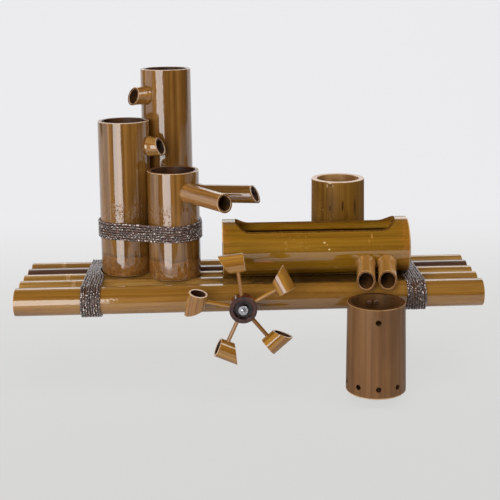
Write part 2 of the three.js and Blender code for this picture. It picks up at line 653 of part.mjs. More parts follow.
function cordGeometry(points, axis) {
  const positions = [];
  const indices = [];
  points.forEach((point, index) => {
    const before = points[Math.max(index - 1, 0)];
    const after = points[Math.min(index + 1, points.length - 1)];
    const run = after.clone().sub(before).normalize();
    const out = run.clone().cross(axis).normalize();
    const side = run.clone().cross(out);
    for (let corner = 0; corner < cordSides; corner += 1) {
      const angle = (corner * 2 * Math.PI) / cordSides;
      const place = point.clone().addScaledVector(out, cordRadius * Math.cos(angle));
      positions.push(...place.addScaledVector(side, cordRadius * Math.sin(angle)).toArray());
    }
  });
  for (let ring = 0; ring + 1 < points.length; ring += 1) {
    for (let corner = 0; corner < cordSides; corner += 1) {
      const a = ring * cordSides + corner;
      const b = ring * cordSides + ((corner + 1) % cordSides);
      indices.push(a, b, a + cordSides, b, b + cordSides, a + cordSides);
    }
  }
  const last = (points.length - 1) * cordSides;
  for (let corner = 1; corner + 1 < cordSides; corner += 1) {
    indices.push(0, corner + 1, corner, last, last + corner, last + corner + 1);
  }
  const geometry = new THREE.BufferGeometry();
  geometry.setAttribute('position', new THREE.Float32BufferAttribute(positions, 3));
  geometry.setIndex(indices);
  return geometry;
}

function addLashing(name, winding, axis, frame) {
  console.log(`${name}: least gap between turns ${leastGap(winding).toFixed(2)} mm`);
  addPiece(name, solidOf(cordGeometry(winding.points, axis)), lashingCord, frame);
}

const raftCircles = [poles[0], poles[poles.length - 1]].map(({ y, z, radius }) => (
  { u: y, v: z, radius: radius + cordOff }));
const raftWinding = (skewShare) => windingPoints([raftCircles[1], raftCircles[0]], raftLoops,
  raftArcSteps, raftStraightSteps,
  (u, v, distance) => new THREE.Vector3(distance - skewShare * (u - leftFrame.position.y), u, v));
const alongX = new THREE.Vector3(1, 0, 0);
addLashing('left_lashing', raftWinding(leftLashingSkewShare), alongX, frameAt(leftLashingX, 0, 0));
addLashing('right_lashing', raftWinding(0), alongX, frameAt(rightLashingX, 0, 0));

const potCircles = [[leftFrame, leftPot], [frontFrame, frontPot], [tallestFrame, tallestPot]].map(
  ([frame, pot]) => ({
    u: frame.position.x,
    v: frame.position.y,
    radius: radiusAlong(pot, potLashingHeight) + clearance + cordRadius,
  }));
const potWinding = windingPoints(potCircles, potLoops, potArcSteps, potStraightSteps,
  (u, v, distance) => new THREE.Vector3(u, v, distance));
addLashing('pot_lashing', potWinding, new THREE.Vector3(0, 0, 1), frameAt(0, 0, standZ + potLashingHeight));

export default model;
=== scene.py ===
"""The looks of a varnished bamboo cascade: three bound pots with spouts, a trough, a cup, a filter
pot and a bucket wheel on a raft of five lashed poles. Metres, +Z up, +X to the right along the
raft and -Y towards the viewer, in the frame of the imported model."""
import json
from math import acos, atan2, cos, dist, exp, hypot, pi, radians, sin, sqrt, tan

import bmesh
import bpy
import numpy as np
from mathutils import Matrix, Vector, noise


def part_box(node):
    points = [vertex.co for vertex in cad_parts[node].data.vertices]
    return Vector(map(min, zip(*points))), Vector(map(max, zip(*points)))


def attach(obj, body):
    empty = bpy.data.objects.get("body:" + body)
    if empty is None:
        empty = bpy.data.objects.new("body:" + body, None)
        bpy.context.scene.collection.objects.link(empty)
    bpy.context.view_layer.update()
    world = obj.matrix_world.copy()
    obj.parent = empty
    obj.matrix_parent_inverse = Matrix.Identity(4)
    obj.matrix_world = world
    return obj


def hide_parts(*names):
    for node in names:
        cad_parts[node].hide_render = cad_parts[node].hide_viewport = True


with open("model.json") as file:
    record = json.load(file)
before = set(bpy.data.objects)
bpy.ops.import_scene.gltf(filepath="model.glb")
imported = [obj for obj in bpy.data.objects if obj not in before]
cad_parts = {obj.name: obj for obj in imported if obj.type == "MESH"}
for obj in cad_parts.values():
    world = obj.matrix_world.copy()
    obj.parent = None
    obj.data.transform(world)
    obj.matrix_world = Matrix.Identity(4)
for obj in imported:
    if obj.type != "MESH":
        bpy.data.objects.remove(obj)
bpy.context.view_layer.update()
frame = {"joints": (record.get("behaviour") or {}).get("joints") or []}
scene = bpy.context.scene
RIGHT, BACK, UP = Vector((1, 0, 0)), Vector((0, 1, 0)), Vector((0, 0, 1))

# Fineness of the meshes
CULM_SIDES = 96
SMALL_SIDES = 40
ROW_STEP = 0.006
NODE_ROWS = 14
NODE_ROW_STEP = 0.0006
SHARP = radians(38)
CUT_OVERRUN = 0.005

# Bamboo: what every culm has
RIM_BEVEL = 0.0006
SCAR_BELOW = 0.0028  # from the node down to the sheath scar
SCAR_WIDTH = 0.0008
SWELL_ABOVE = 0.0026
SWELL_WIDTH = 0.0024
GROOVE_WIDTH = 0.0012
SCAR_SHARE = 0.85  # of the ridge's height
GROOVE_SHARE = 0.4
OVAL_SHARE = 0.006
WAVE_HEIGHT = 0.00014
WAVES_ROUND = 1.6
WAVES_ALONG = 14.0
DIAPHRAGM = 0.005

# Raft
POLE_WALLS = (0.0045, 0.0038)  # the front pole's and a thin pole's
POLE_NAMES = ("front_pole", "second_pole", "third_pole", "fourth_pole", "back_pole")
POLE_NODE_SHARES = ((0.123, 0.615), (0.116, 0.6), (0.097, 0.57), (0.084, 0.63), (0.073, 0.55))
POLE_RIDGE = 0.0004
FAINT_RIDGE = 0.00003  # a node under thick varnish
THIN_POLE_RIDGE = 0.00015
BANDED_POLES = ("second_pole", "third_pole", "back_pole")
NODE_BAND = 0.003  # half of the paler band at a thin pole's node

# Pots: wall, node height above the foot, radii at the foot and at the rim
POT_RIDGE = 0.0005
BOUND_POTS = ("left_pot", "front_pot", "tallest_pot")
POT_SIZES = {name: (0.005, 0.026, 0.0344, 0.0339) for name in BOUND_POTS} | {
    "back_cup": (0.0074, 0.018, 0.0374, 0.0367),
    "filter_pot": (0.0055, 0.006, 0.038, 0.0365),
}

# Spouts: the pot that holds it, drop of its axis below the rim, azimuth, tilt, mouth, slant, turn
SPOUT_RADIUS = 0.012
SPOUT_WALL = 0.0025
SPOUT_INSET = 0.002
SPOUT_COLLAR = 0.0014  # how proud the collar at a spout's root stands
SPOUT_COLLAR_LENGTH = 0.005
SPOUT_BORE = SPOUT_RADIUS - RIM_BEVEL / 2  # of the hole that a spout stands in
POT_SPOUTS = {
    "tallest_pot_spout": ("tallest_pot", 0.0333, 219.1, 1.0, 0.0532, 18.0, 0),
    "left_pot_spout": ("left_pot", 0.0321, -10.0, 3.0, 0.0498, 20.0, 14.0),
    "wheel_spout": ("front_pot", 0.0256, -51.0, 1.7, 0.1074, 12.0, 0),
    "trough_feed_spout": ("front_pot", 0.031, -8.0, 0.2, 0.1081, 24.0, 12.0),
}
TROUGH_SPOUT_TILT = 19.0
TROUGH_SPOUT_YAW = -97.0
TROUGH_SPOUT_SLANT = 26.0
TROUGH_SPOUT_FROM_RIGHT = 0.0406
TROUGH_SPOUT_SIDE = 0.01385
TROUGH_SPOUT_MOUTH = 0.075
TROUGH_SPOUT_LIFT = 0.0005

# Trough
TROUGH_RADIUS = 0.0374
TROUGH_WALL = 0.0055
TROUGH_RECESS = 0.009
TROUGH_CUT_DEPTH = 0.0105
TROUGH_CUT_INSET = 0.017
TROUGH_CUT_SLOPE = 0.0195
TROUGH_CUT_LEAN = 0.05  # how much lower the opening's floor is cut towards the viewer
TROUGH_NOTCH_TOP = 0.0393  # above the raft's underside

# Filter pot
WEEP_RADIUS = 0.0034
WEEP_COUNT = 9
WEEP_RISE = 0.0127
WEEP_TURN = radians(-3)
DRIVER_RADIUS = 0.0036
DRIVER_DROP = 0.016
DRIVER_TURN = radians(-4)

# Waterwheel
WHEEL_AXIS = Vector(frame["joints"][0]["pos_m"])
HUB_RADIUS = 0.0175
HUB_WALL = 0.0056
HUB_THICKNESS = 0.016
HUB_WEB = 0.004
HUB_ROWS, SPOKE_ROWS, BUCKET_ROWS = 10, 12, 18
SOCKET_REACH = (0.001, 0.002)  # of a spoke's hole, inside and outside the hub's wall
BUSH_RADIUS = 0.004
AXLE_BORE = 0.0023
SPOKE_RADIUS = 0.0026
SPOKE_WAVE = 0.0001
WHEEL_GAP = 0.0001  # round the bush and the spokes in their holes
SPOKE_ANGLES = (28.9, 96.7, 168.1, 245.5, 309.4)
BUCKET_CIRCLE = 0.0585
BUCKET_RADIUS = 0.012
BUCKET_WALL = 0.0024
BUCKET_MOUTH = 0.009
BUCKET_MIDDLE = 0.016
BUCKET_SLOPE = 7 / 12
BUCKET_WEB = (0.0036, 0.006)  # heights of the wall inside
SPOKE_SPAN = (0.0122, 0.0486)
BUCKET_TWISTS = (15, 0, 8.5, 4, 5.5)  # degrees about the spoke

# Cords
CORD_RADIUS = 0.00145
CORD_PITCH = 0.00325
CORD_STEP = 0.0006
CORD_SIDES = 12
CORD_TWIST = 0.0052
CORD_LOBE_LOW = 0.74
CORD_SLACK = 0.0003  # how unevenly it lies on what it binds
CORD_DRIFT = 0.0009  # how far it strays towards its neighbours
CORD_LIFT = 0.00165  # from a culm to the middle of the cord
RAFT_LOOPS = 8
LEFT_LASHING_RIGHT = -0.1915  # its right edge, where it isn't squeezed beside the left pot
SQUEEZE_REACH = 0.024
POT_LOOPS = 7

# Camera: fitted to the photograph, whose upright lines stay parallel, so the lens is shifted a
# little and its middle lies at this pixel
CAMERA_PLACE = Vector((-0.0265, -1.3133, 0.4067))
CAMERA_YAW = radians(3.23)  # towards +X
CAMERA_PITCH = radians(8.96)  # downwards
CAMERA_ROLL = radians(0.36)
FOCAL_PIXELS = 1009.1
PICTURE_PIXELS = 500
LENS_MIDDLE = (285, 150)
SENSOR = 36


def srgb(red, green, blue):
    """A colour as it shows in the picture, 0 to 255, as the linear values that nodes take."""
    def linear(value):
        share = value / 255
        return share / 12.92 if share <= 0.04045 else ((share + 0.055) / 1.055) ** 2.4
    return (linear(red), linear(green), linear(blue), 1.0)


# Materials
VARNISH = 1.8  # how strongly the varnish shines, as an index of refraction


def put(socket, value):
    """Links a socket to another or sets it. A colour is given as it shows, 0 to 255."""
    if isinstance(value, bpy.types.NodeSocket):
        socket.id_data.links.new(value, socket)
    else:
        socket.default_value = srgb(*value) if socket.type == "RGBA" else value


def add_node(tree, kind, inputs=None, **settings):
    made = tree.nodes.new(kind)
    for key, value in settings.items():
        setattr(made, key, value)
    for key, value in (inputs or {}).items():
        put(made.inputs[key], value)
    return made


class Net:
    """The nodes of one material. place is the piece's own coordinates, shifted by its seed."""

    def __init__(self, name):
        self.material = bpy.data.materials.new(name)
        self.material.use_nodes = True
        self.tree = self.material.node_tree
        self.shader = self.tree.nodes["Principled BSDF"]
        self.coordinates = self.add("ShaderNodeTexCoord").outputs["Object"]
        shifted = self.add("ShaderNodeMapping", {"Vector": self.coordinates}, name="Seed")
        self.place = shifted.outputs["Vector"]

    def add(self, kind, inputs=None, **settings):
        return add_node(self.tree, kind, inputs, **settings)

    def surface(self, **values):
        """Sets the shader's inputs, whose names have _ for a space here."""
        for key, value in values.items():
            put(self.shader.inputs[key.replace("_", " ")], value)
        return self.material

    def part(self, axis):
        return self.add("ShaderNodeSeparateXYZ", {"Vector": self.coordinates}).outputs[axis]

    def noise(self, scale, detail=2.0, along=1, rough=0.5, across=1):
        moved = self.add("ShaderNodeMapping", {"Vector": self.place, "Scale": (across, 1, along)})
        inputs = {"Vector": moved.outputs["Vector"], "Scale": scale, "Detail": detail, "Roughness": rough}
        return self.add("ShaderNodeTexNoise", inputs).outputs["Fac"]

    def ramp(self, value, low, high, start=0.0, end=1.0):
        inputs = {"Value": value, "From Min": low, "From Max": high, "To Min": start, "To Max": end}
        return self.add("ShaderNodeMapRange", inputs, interpolation_type="SMOOTHSTEP").outputs["Result"]

    def math(self, operation, first, second):
        return self.add("ShaderNodeMath", {0: first, 1: second}, operation=operation).outputs["Value"]

    def plus(self, first, second):
        return self.math("ADD", first, second)

    def times(self, first, second):
        return self.math("MULTIPLY", first, second)

    def mix(self, share, first, second):
        inputs = {"Factor": share, "A": first, "B": second}
        return self.add("ShaderNodeMix", inputs, data_type="RGBA").outputs["Result"]

    def tint(self, colour, pattern, low, high, share, tone):
        """The colour, turned to a tone by a share where the pattern is high."""
        return self.mix(self.ramp(pattern, low, high, 0, share), colour, tone)

    def bump(self, height, strength, distance, normal=None):
        inputs = {"Height": height, "Strength": strength, "Distance": distance}
        if normal is not None:
            inputs["Normal"] = normal
        return self.add("ShaderNodeBump", inputs).outputs["Normal"]

    def spot(self, ragged, middle, size, share):
        """A soft spot of a size about a place, with a ragged edge."""
        moved = self.add("ShaderNodeMapping", {
            "Vector": self.coordinates, "Scale": [1 / s for s in size],
            "Location": [-m / s for m, s in zip(middle, size)]})
        away = self.add("ShaderNodeVectorMath", {0: moved.outputs["Vector"]}, operation="LENGTH")
        return self.ramp(self.plus(away.outputs["Value"], ragged), 0.9, 1.6, share, 0)


def culm_skin(name, dark, main, light, gloss=0.06, rough=0.45, veil=1.0, foot=None, wrinkled=None,
              speckled=0.0, marks=(), stained=None, brims=()):
    """Varnished culm: fibre streaks and broad bands along local Z, clouds, specks and a clear
    coat that waves a little. foot is the height below which an upright pot is mottled, wrinkled
    the heights between which its varnish has crept, speckled the share of pale specks, marks
    single spots as (place, size, colour, share), stained a culm's length and the reach of the
    orange stain at its ends, and brims the heights of ends that are worn pale."""
    net = Net(name)
    height = net.part("Z")
    stripes = net.noise(230, 3, 0.014, 0.6)
    fibres = net.noise(950, 4, 0.02, 0.65)
    clouds = net.noise(26, 3, 0.3, 0.55)
    grime = net.noise(260, 4, 0.5, 0.7)
    blotches = net.noise(330, 5, 0.8, 0.75)
    colour = net.tint(main, net.noise(150, 2, 0.01), 0.38, 0.64, 1, light)
    for pattern, low, high, share in ((stripes, 0.48, 0.66, 0.45), (fibres, 0.5, 0.74, 0.5),
                                      (clouds, 0.5, 0.75, 0.5), (grime, 0.62, 0.78, 0.6)):
        colour = net.tint(colour, pattern, low, high, share, dark)
    if foot:
        patches = net.noise(90, 2, 1.4)
        mottled = net.mix(net.ramp(blotches, 0.36, 0.68), (100, 60, 18), (156, 102, 44))
        mottled = net.tint(mottled, patches, 0.46, 0.66, 0.45, (160, 116, 62))
        wavy = net.plus(height, net.ramp(patches, 0.2, 0.8, -0.003, 0.003))
        low = net.ramp(wavy, foot - 0.001, foot + 0.0012, 1, 0)
        colour = net.mix(net.times(low, 0.75), colour, mottled)
        line = net.times(net.ramp(wavy, foot - 0.001, foot + 0.0008),
                         net.ramp(wavy, foot + 0.0012, foot + 0.006, 1, 0))
        colour = net.mix(net.times(line, 0.45), colour, dark)
    if speckled:
        specks = net.noise(520, 3, 0.6, 0.6)
        nests = net.ramp(net.noise(34, 2), 0.55, 0.68)
        pale = net.times(net.ramp(specks, 0.6, 0.66), nests)
        colour = net.mix(net.times(pale, speckled), colour, (206, 168, 96))
    if stained:
        length, reach = stained
        ends = net.plus(net.ramp(height, reach * 0.3, reach, 1, 0),
                        net.ramp(height, length - 1.4 * reach, length - 0.3 * reach))
        stain = net.times(ends, net.ramp(blotches, 0.4, 0.6))
        colour = net.mix(net.times(stain, 0.7), colour, (166, 104, 36))
    for brim in brims:
        away = net.math("ABSOLUTE", net.math("SUBTRACT", height, brim), 0)
        worn = net.times(net.ramp(away, 0.0011, 0.0017, 1, 0), net.ramp(blotches, 0.3, 0.45))
        colour = net.mix(worn, colour, (206, 170, 126))
    for spot, size, tone, share in marks:
        colour = net.mix(net.spot(grime, spot, size, share), colour, tone)
    wave = net.noise(60, 2, 0.14)
    pits = net.noise(420, 2, 0.35)
    dented = net.ramp(net.noise(30, 1, 0.6), 0.56, 0.68)
    coat = net.bump(wave, 0.35, 0.0006, net.bump(net.times(pits, dented), 0.6, 0.00025))
    if wrinkled:
        low, high = wrinkled
        creep = net.ramp(net.noise(330, 2, 0.6), 0.52, 0.6)
        zone = net.times(net.ramp(height, low, low + 0.002), net.ramp(height, high - 0.012, high, 1, 0))
        coat = net.bump(net.times(creep, zone), 1.0, 0.0006, coat)
    return net.surface(
        Base_Color=colour, Normal=net.bump(wave, 0.5, 0.0006, net.bump(fibres, 0.35, 0.00006)),
        Coat_Normal=coat, Roughness=net.ramp(clouds, 0.3, 0.7, rough, rough + 0.12),
        Specular_IOR_Level=0.1, Coat_Weight=veil, Coat_Roughness=gloss, Coat_IOR=VARNISH)


def sawn_end(name, pale, dots, veil=0.6):
    """End grain: a pale ground with the dark ends of the fibres."""
    net = Net(name)
    cells = net.add("ShaderNodeTexVoronoi", {"Vector": net.place, "Scale": 1400.0}).outputs["Distance"]
    colour = net.mix(net.ramp(net.noise(240, 3), 0.35, 0.7), pale, dots)
    colour = net.mix(net.ramp(cells, 0.12, 0.3, 0.75, 0), colour, (70, 42, 22))
    return net.surface(Base_Color=colour, Roughness=0.4, Specular_IOR_Level=veil / 2, Coat_Weight=veil,
                       Coat_Roughness=0.2, Normal=net.bump(cells, 0.4, 0.0001))


def culm_inside(name, dark, light, gloss=0.3, shaded=None):
    """The inner wall: brown, with faint fibres along local Z; painted shade darkens it below a height in
    local X.
    """
    net = Net(name)
    fibres = net.noise(700, 3, 0.03)
    clouds = net.noise(60, 3, 0.4)
    colour = net.mix(net.ramp(clouds, 0.35, 0.7), dark, light)
    colour = net.tint(colour, fibres, 0.5, 0.75, 0.4, dark)
    if shaded:
        # painted shade: nearly black below the height shaded
        up = net.part("X")
        colour = net.mix(net.ramp(up, shaded - 0.002, shaded + 0.002, 1, 0), colour, (22, 10, 2))
    return net.surface(Base_Color=colour, Roughness=0.5, Coat_Weight=0.5, Coat_Roughness=gloss,
                       Normal=net.bump(fibres, 0.4, 0.0001))


def cord_material():
    """Dark twisted cord under a thick varnish, with near-white specks that are painted glints."""
    net = Net("lashing cord")
    hairs = net.noise(1500, 3, 1, 0.7)
    patches = net.noise(130, 2)
    glint_flecks = net.noise(480, 3, 1, 0.6)
    pits = net.noise(360, 2, 1, 0.6, 1.3)
    colour = net.mix(net.ramp(hairs, 0.38, 0.62), (60, 28, 22), (130, 84, 66))
    colour = net.tint(colour, patches, 0.4, 0.7, 0.5, (42, 26, 24))
    colour = net.tint(colour, pits, 0.44, 0.54, 0.95, (14, 6, 5))
    # painted glints: near-white specks in the base colour, fewer where the patches are low
    light = net.times(net.ramp(glint_flecks, 0.57, 0.615), net.ramp(patches, 0.36, 0.56, 0.3, 1))
    colour = net.mix(light, colour, (252, 234, 222))
    return net.surface(
        Base_Color=colour, Roughness=0.45, Coat_Weight=1.0, Coat_Roughness=0.12, Coat_IOR=2.0,
        Normal=net.bump(hairs, 0.8, 0.0005), Coat_Normal=net.bump(glint_flecks, 1.0, 0.003))


def steel_material(name, dark, light, metal=1.0):
    net = Net(name)
    scratches = net.noise(900, 4, 0.2)
    return net.surface(
        Base_Color=net.mix(scratches, dark, light), Metallic=metal,
        Roughness=net.ramp(scratches, 0.3, 0.7, 0.22, 0.38), Normal=net.bump(scratches, 0.2, 0.0001))


def dark_material(name, first, second, rough):
    """Plastic or rubber: dark, with a fine moulded grain."""
    net = Net(name)
    grain = net.noise(1200, 3)
    return net.surface(Base_Color=net.mix(grain, first, second), Roughness=rough,
                       Normal=net.bump(grain, 0.3, 0.0001))


FOOT = 0.0252  # the height of a bound pot's mottled foot
CUP_MARKS = (
    ((-0.0145, -0.034, 0.077), (0.0016, 0.02, 0.005), (58, 32, 6), 0.8),
    ((0.0026, -0.037, 0.0805), (0.0018, 0.02, 0.009), (46, 24, 4), 0.9),
    ((0.0197, -0.031, 0.0788), (0.0022, 0.02, 0.014), (60, 38, 8), 0.75),
    ((0.009, -0.036, 0.066), (0.0014, 0.02, 0.006), (70, 44, 10), 0.6),
    ((-0.0145, -0.033, 0.1122), (0.0042, 0.02, 0.0014), (228, 204, 172), 0.9),
    ((-0.0135, -0.035, 0.1085), (0.0028, 0.02, 0.0022), (84, 52, 22), 0.8),
    ((-0.018, -0.033, 0.1078), (0.0009, 0.02, 0.0032), (206, 172, 130), 0.8),
    ((-0.0105, -0.035, 0.108), (0.0008, 0.02, 0.0024), (196, 160, 116), 0.8),
)
TROUGH_MARKS = (
    ((0.0123, 0.037, 0.1325), (0.0012, 0.02, 0.002), (226, 190, 120), 1.0),
    ((0.0035, 0.037, 0.1385), (0.0012, 0.02, 0.0016), (236, 208, 150), 1.0),
    ((0.0095, 0.037, 0.136), (0.001, 0.02, 0.0012), (200, 150, 80), 0.9),
    ((0.0189, 0.033, 0.1945), (0.004, 0.02, 0.0014), (196, 140, 70), 0.7),
    ((0.013, 0.035, 0.1905), (0.003, 0.02, 0.001), (186, 130, 60), 0.6),
    ((-0.012, 0.036, 0.054), (0.004, 0.02, 0.016), (160, 96, 26), 0.5),
)
POLE_SHADE_MARKS = (  # painted shade where the trough shades the poles: darker spots on the front pole's top and front
    ((0.0178, -0.003, 0.3857), (0.01, 0.0105, 0.16), (34, 18, 4), 0.7),
    ((-0.004, 0.018, 0.37), (0.02, 0.02, 0.13), (98, 62, 14), 0.5),
)
# painted shade on the second pole's top where the trough shades it
SECOND_POLE_SHADE_MARKS = (((0.0125, 0.004, 0.3857), (0.012, 0.02, 0.165), (26, 14, 4), 0.85),)
TROUGH_LENGTH = 0.2451
THIN_POLE = ((112, 72, 22), (152, 108, 44), (178, 134, 68))
NODE = ((126, 84, 40), (176, 132, 76), (204, 164, 112))
POT_SKIN = culm_skin("pot skin", (74, 44, 8), (118, 77, 26), (142, 98, 42), foot=FOOT,
                     wrinkled=(0.07, 0.1))
CUP_SKIN = culm_skin("cup skin", (76, 46, 6), (116, 78, 18), (134, 94, 32),
                     gloss=0.4, rough=0.7, veil=0.1, speckled=0.4, marks=CUP_MARKS)
# the front pole's skin carries the painted shade under the trough
POLE_SKIN = culm_skin("pole skin", (102, 64, 14), (140, 95, 30), (158, 113, 48), marks=POLE_SHADE_MARKS)
THIN_POLE_SKIN = culm_skin("thin pole skin", *THIN_POLE)
# the second pole's skin and its node skin carry that painted shade
SECOND_POLE_SKIN = culm_skin("second pole skin", *THIN_POLE, marks=SECOND_POLE_SHADE_MARKS)
PURPLE_POLE_SKIN = culm_skin("purple pole skin", (52, 28, 18), (88, 58, 42), (114, 84, 66))
NODE_SKIN = culm_skin("node skin", *NODE)
SECOND_NODE_SKIN = culm_skin("second pole node skin", *NODE, marks=SECOND_POLE_SHADE_MARKS)
TROUGH_SKIN = culm_skin("trough skin", (96, 61, 4), (136, 93, 13), (152, 108, 24), speckled=0.5,
                        marks=TROUGH_MARKS, stained=(TROUGH_LENGTH, 0.014), brims=(0, TROUGH_LENGTH))
FILTER_SKIN = culm_skin("filter skin", (84, 52, 20), (112, 74, 34), (126, 86, 46),
                        gloss=0.25, rough=0.55, veil=0.35, brims=(0,))
SPOUT_SKIN = culm_skin("spout skin", (96, 58, 18), (144, 96, 42), (166, 118, 62))
GOLDEN_SKIN = culm_skin("golden spout skin", (110, 70, 22), (160, 112, 50), (186, 136, 74))
# painted shade: a darker copy of the spout skin for the rear spout, which sits in the front pot's shade
SHADED_SPOUT_SKIN = culm_skin("dark spout skin", (70, 42, 10), (116, 76, 26), (138, 96, 44))
WHEEL_SKIN = culm_skin("wheel skin", (84, 48, 4), (142, 92, 20), (172, 122, 46))
HUB_SKIN = culm_skin("hub skin", (24, 8, 8), (78, 30, 22), (126, 56, 34))
SAWN = sawn_end("sawn end", (224, 190, 156), (196, 156, 116))
SAWN_BROWN = sawn_end("brown sawn end", (124, 84, 46), (98, 62, 30))
SAWN_DARK = sawn_end("dark sawn end", (92, 60, 34), (74, 46, 24), 0)
CUT_EDGE = sawn_end("cut edge", (120, 82, 32), (84, 54, 18), 0)
GOLDEN_EDGE = sawn_end("golden edge", (206, 156, 92), (172, 122, 62), 0.2)
SAWN_TAN = sawn_end("tan sawn end", (176, 132, 84), (150, 106, 62))
HUB_SAWN = sawn_end("hub end", (72, 38, 30), (36, 18, 16))
INSIDE = culm_inside("inside", (52, 28, 14), (92, 56, 30))
SPOUT_INSIDE = culm_inside("spout inside", (44, 24, 8), (88, 56, 22), 0.1)
# painted light: far brighter than the other inner walls, standing in for light on the trough's far inner
# wall; painted shade below the height shaded
TROUGH_INSIDE = culm_inside("trough inside", (232, 156, 34), (250, 188, 62), shaded=0.0155)
FILTER_INSIDE = culm_inside("filter inside", (86, 54, 22), (116, 78, 38))
CUP_INSIDE = culm_inside("cup inside", (150, 106, 56), (190, 146, 92))
HUB_INSIDE = culm_inside("hub centre", (26, 15, 16), (52, 34, 36), 0.15)
CORD = cord_material()
STEEL = steel_material("screw steel", (150, 152, 156), (225, 226, 228))
STAINED_STEEL = steel_material("stained steel", (74, 50, 34), (128, 92, 72), 0.0)
BUSH = dark_material("bush plastic", (30, 28, 30), (52, 48, 50), 0.45)
NIPPLE = dark_material("inlet plastic", (34, 34, 36), (52, 52, 54), 0.4)
RUBBER = dark_material("inlet rubber", (20, 20, 20), (36, 35, 34), 0.8)


def seeded(material, seed):
    """The same material with its pattern in another place."""
    made = material.copy()
    made.node_tree.nodes["Seed"].inputs["Location"].default_value = (seed, 1.7 * seed, 2.3 * seed)
    return made


# Meshes
def revolve(outline, materials, sides=CULM_SIDES, wobble=None, shear=None):
    """A turned mesh. The outline is a closed run of (radius, height, material) points. wobble
    moves a radius at (radius, angle, height); shear is (slope, side slope, start, end), and leans
    the end."""
    points, faces, slots, rings = [], [], [], []
    for radius, height, _ in outline:
        if radius < 1e-7:
            rings.append([len(points)] * sides)
            points.append((0, 0, height))
            continue
        rings.append(list(range(len(points), len(points) + sides)))
        for side in range(sides):
            angle = 2 * pi * side / sides
            reach = wobble(radius, angle, height) if wobble else radius
            rise = height
            if shear:
                slope, side_slope, start, end = shear
                weight = min(1, max(0, (height - start) / (end - start)))
                rise += (slope * cos(angle) + side_slope * sin(angle)) * reach * weight
            points.append((reach * cos(angle), reach * sin(angle), rise))
    count = len(outline)
    for index in range(count):
        first, second = rings[index], rings[(index + 1) % count]
        if first[0] == first[-1] and second[0] == second[-1]:
            continue
        for side in range(sides):
            after = (side + 1) % sides
            corners = [first[side], first[after], second[after], second[side]]
            faces.append(list(dict.fromkeys(corners)))
            slots.append(outline[index][2])
    mesh = new_mesh("turned", points, faces, *materials)
    mesh.polygons.foreach_set("material_index", slots)
    return face_outwards(mesh)


def new_mesh(name, points, faces, *materials):
    mesh = bpy.data.meshes.new(name)
    mesh.from_pydata(points, [], faces)
    for material in materials:
        mesh.materials.append(material)
    return mesh


def face_outwards(mesh):
    work = bmesh.new()
    work.from_mesh(mesh)
    bmesh.ops.recalc_face_normals(work, faces=work.faces)
    work.to_mesh(mesh)
    work.free()
    return mesh


def add_object(name, data, matrix=None):
    made = bpy.data.objects.new(name, data)
    if matrix is not None:
        made.matrix_world = matrix
    scene.collection.objects.link(made)
    return made


def piece(name, mesh, matrix=None, body="fountain"):
    """A finished piece that stands for the CAD node of the same name."""
    mesh.shade_smooth()
    mesh.set_sharp_from_angle(angle=SHARP)
    made = add_object("look_" + name, mesh, matrix)
    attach(made, body)
    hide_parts(name)
    return made


def lying_along(origin, direction):
    """A frame whose Z runs along direction and whose X is as near up as it can be."""
    ahead = direction.normalized()
    across = ahead.cross(UP).normalized()
    turn = Matrix((across.cross(ahead), across, ahead)).transposed().to_4x4()
    return Matrix.Translation(origin) @ turn


def carve(mesh, matrix, cutters):
    """The mesh less its cutters, each a (mesh, matrix) pair whose material lines the cut."""
    body = add_object("body", mesh, matrix)
    tools = [add_object("cutter", *cutter) for cutter in cutters]
    for tool in tools:
        cut = body.modifiers.new("cut", "BOOLEAN")
        cut.operation = "DIFFERENCE"
        cut.solver = "EXACT"
        cut.material_mode = "TRANSFER"
        cut.object = tool
    bpy.context.view_layer.update()
    view = bpy.context.evaluated_depsgraph_get()
    carved = bpy.data.meshes.new_from_object(body.evaluated_get(view))
    for made in [body, *tools]:
        bpy.data.objects.remove(made)
    return carved


def along_box(name, axis):
    """The middle of a CAD box's low end along an axis, its length that way and half its height."""
    low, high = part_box(name)
    start = (low + high) / 2
    start[axis] = low[axis]
    return start, high[axis] - low[axis], (high.z - low.z) / 2


def bar(radius, start, end, material, sides=SMALL_SIDES):
    return revolve([(0, start, 0), (radius, start, 0), (radius, end, 0), (0, end, 0)], [material], sides)


def block(low, high, material):
    work = bmesh.new()
    bmesh.ops.create_cube(work, size=1)
    low, high = Vector(low), Vector(high)
    for corner in work.verts:
        corner.co = Vector((low[k] + (corner.co[k] + 0.5) * (high[k] - low[k])) for k in range(3))
    mesh = bpy.data.meshes.new("block")
    work.to_mesh(mesh)
    work.free()
    mesh.materials.append(material)
    return mesh


# Culms
def node_swell(distance, ridge):
    """How proud a culm stands at a distance above its node: a thin scar, a groove, a swell."""
    scar = SCAR_SHARE * exp(-(((distance + SCAR_BELOW) / SCAR_WIDTH) ** 2))
    swell = exp(-(((distance - SWELL_ABOVE) / SWELL_WIDTH) ** 2))
    groove = GROOVE_SHARE * exp(-((distance / GROOVE_WIDTH) ** 2))
    return ridge * (scar + swell - groove)


def grown(seed, wave=WAVE_HEIGHT):
    """Makes a round culm a little oval and wavy, and never wider."""
    lean = seed * 2.4

    def wobble(radius, angle, height):
        oval = OVAL_SHARE * radius * sin(angle - lean) ** 2
        spot = Vector((WAVES_ROUND * cos(angle), WAVES_ROUND * sin(angle), WAVES_ALONG * height))
        return radius - oval - wave * (0.5 + 0.5 * noise.noise(spot + Vector((seed, 0, 7 * seed))))
    return wobble


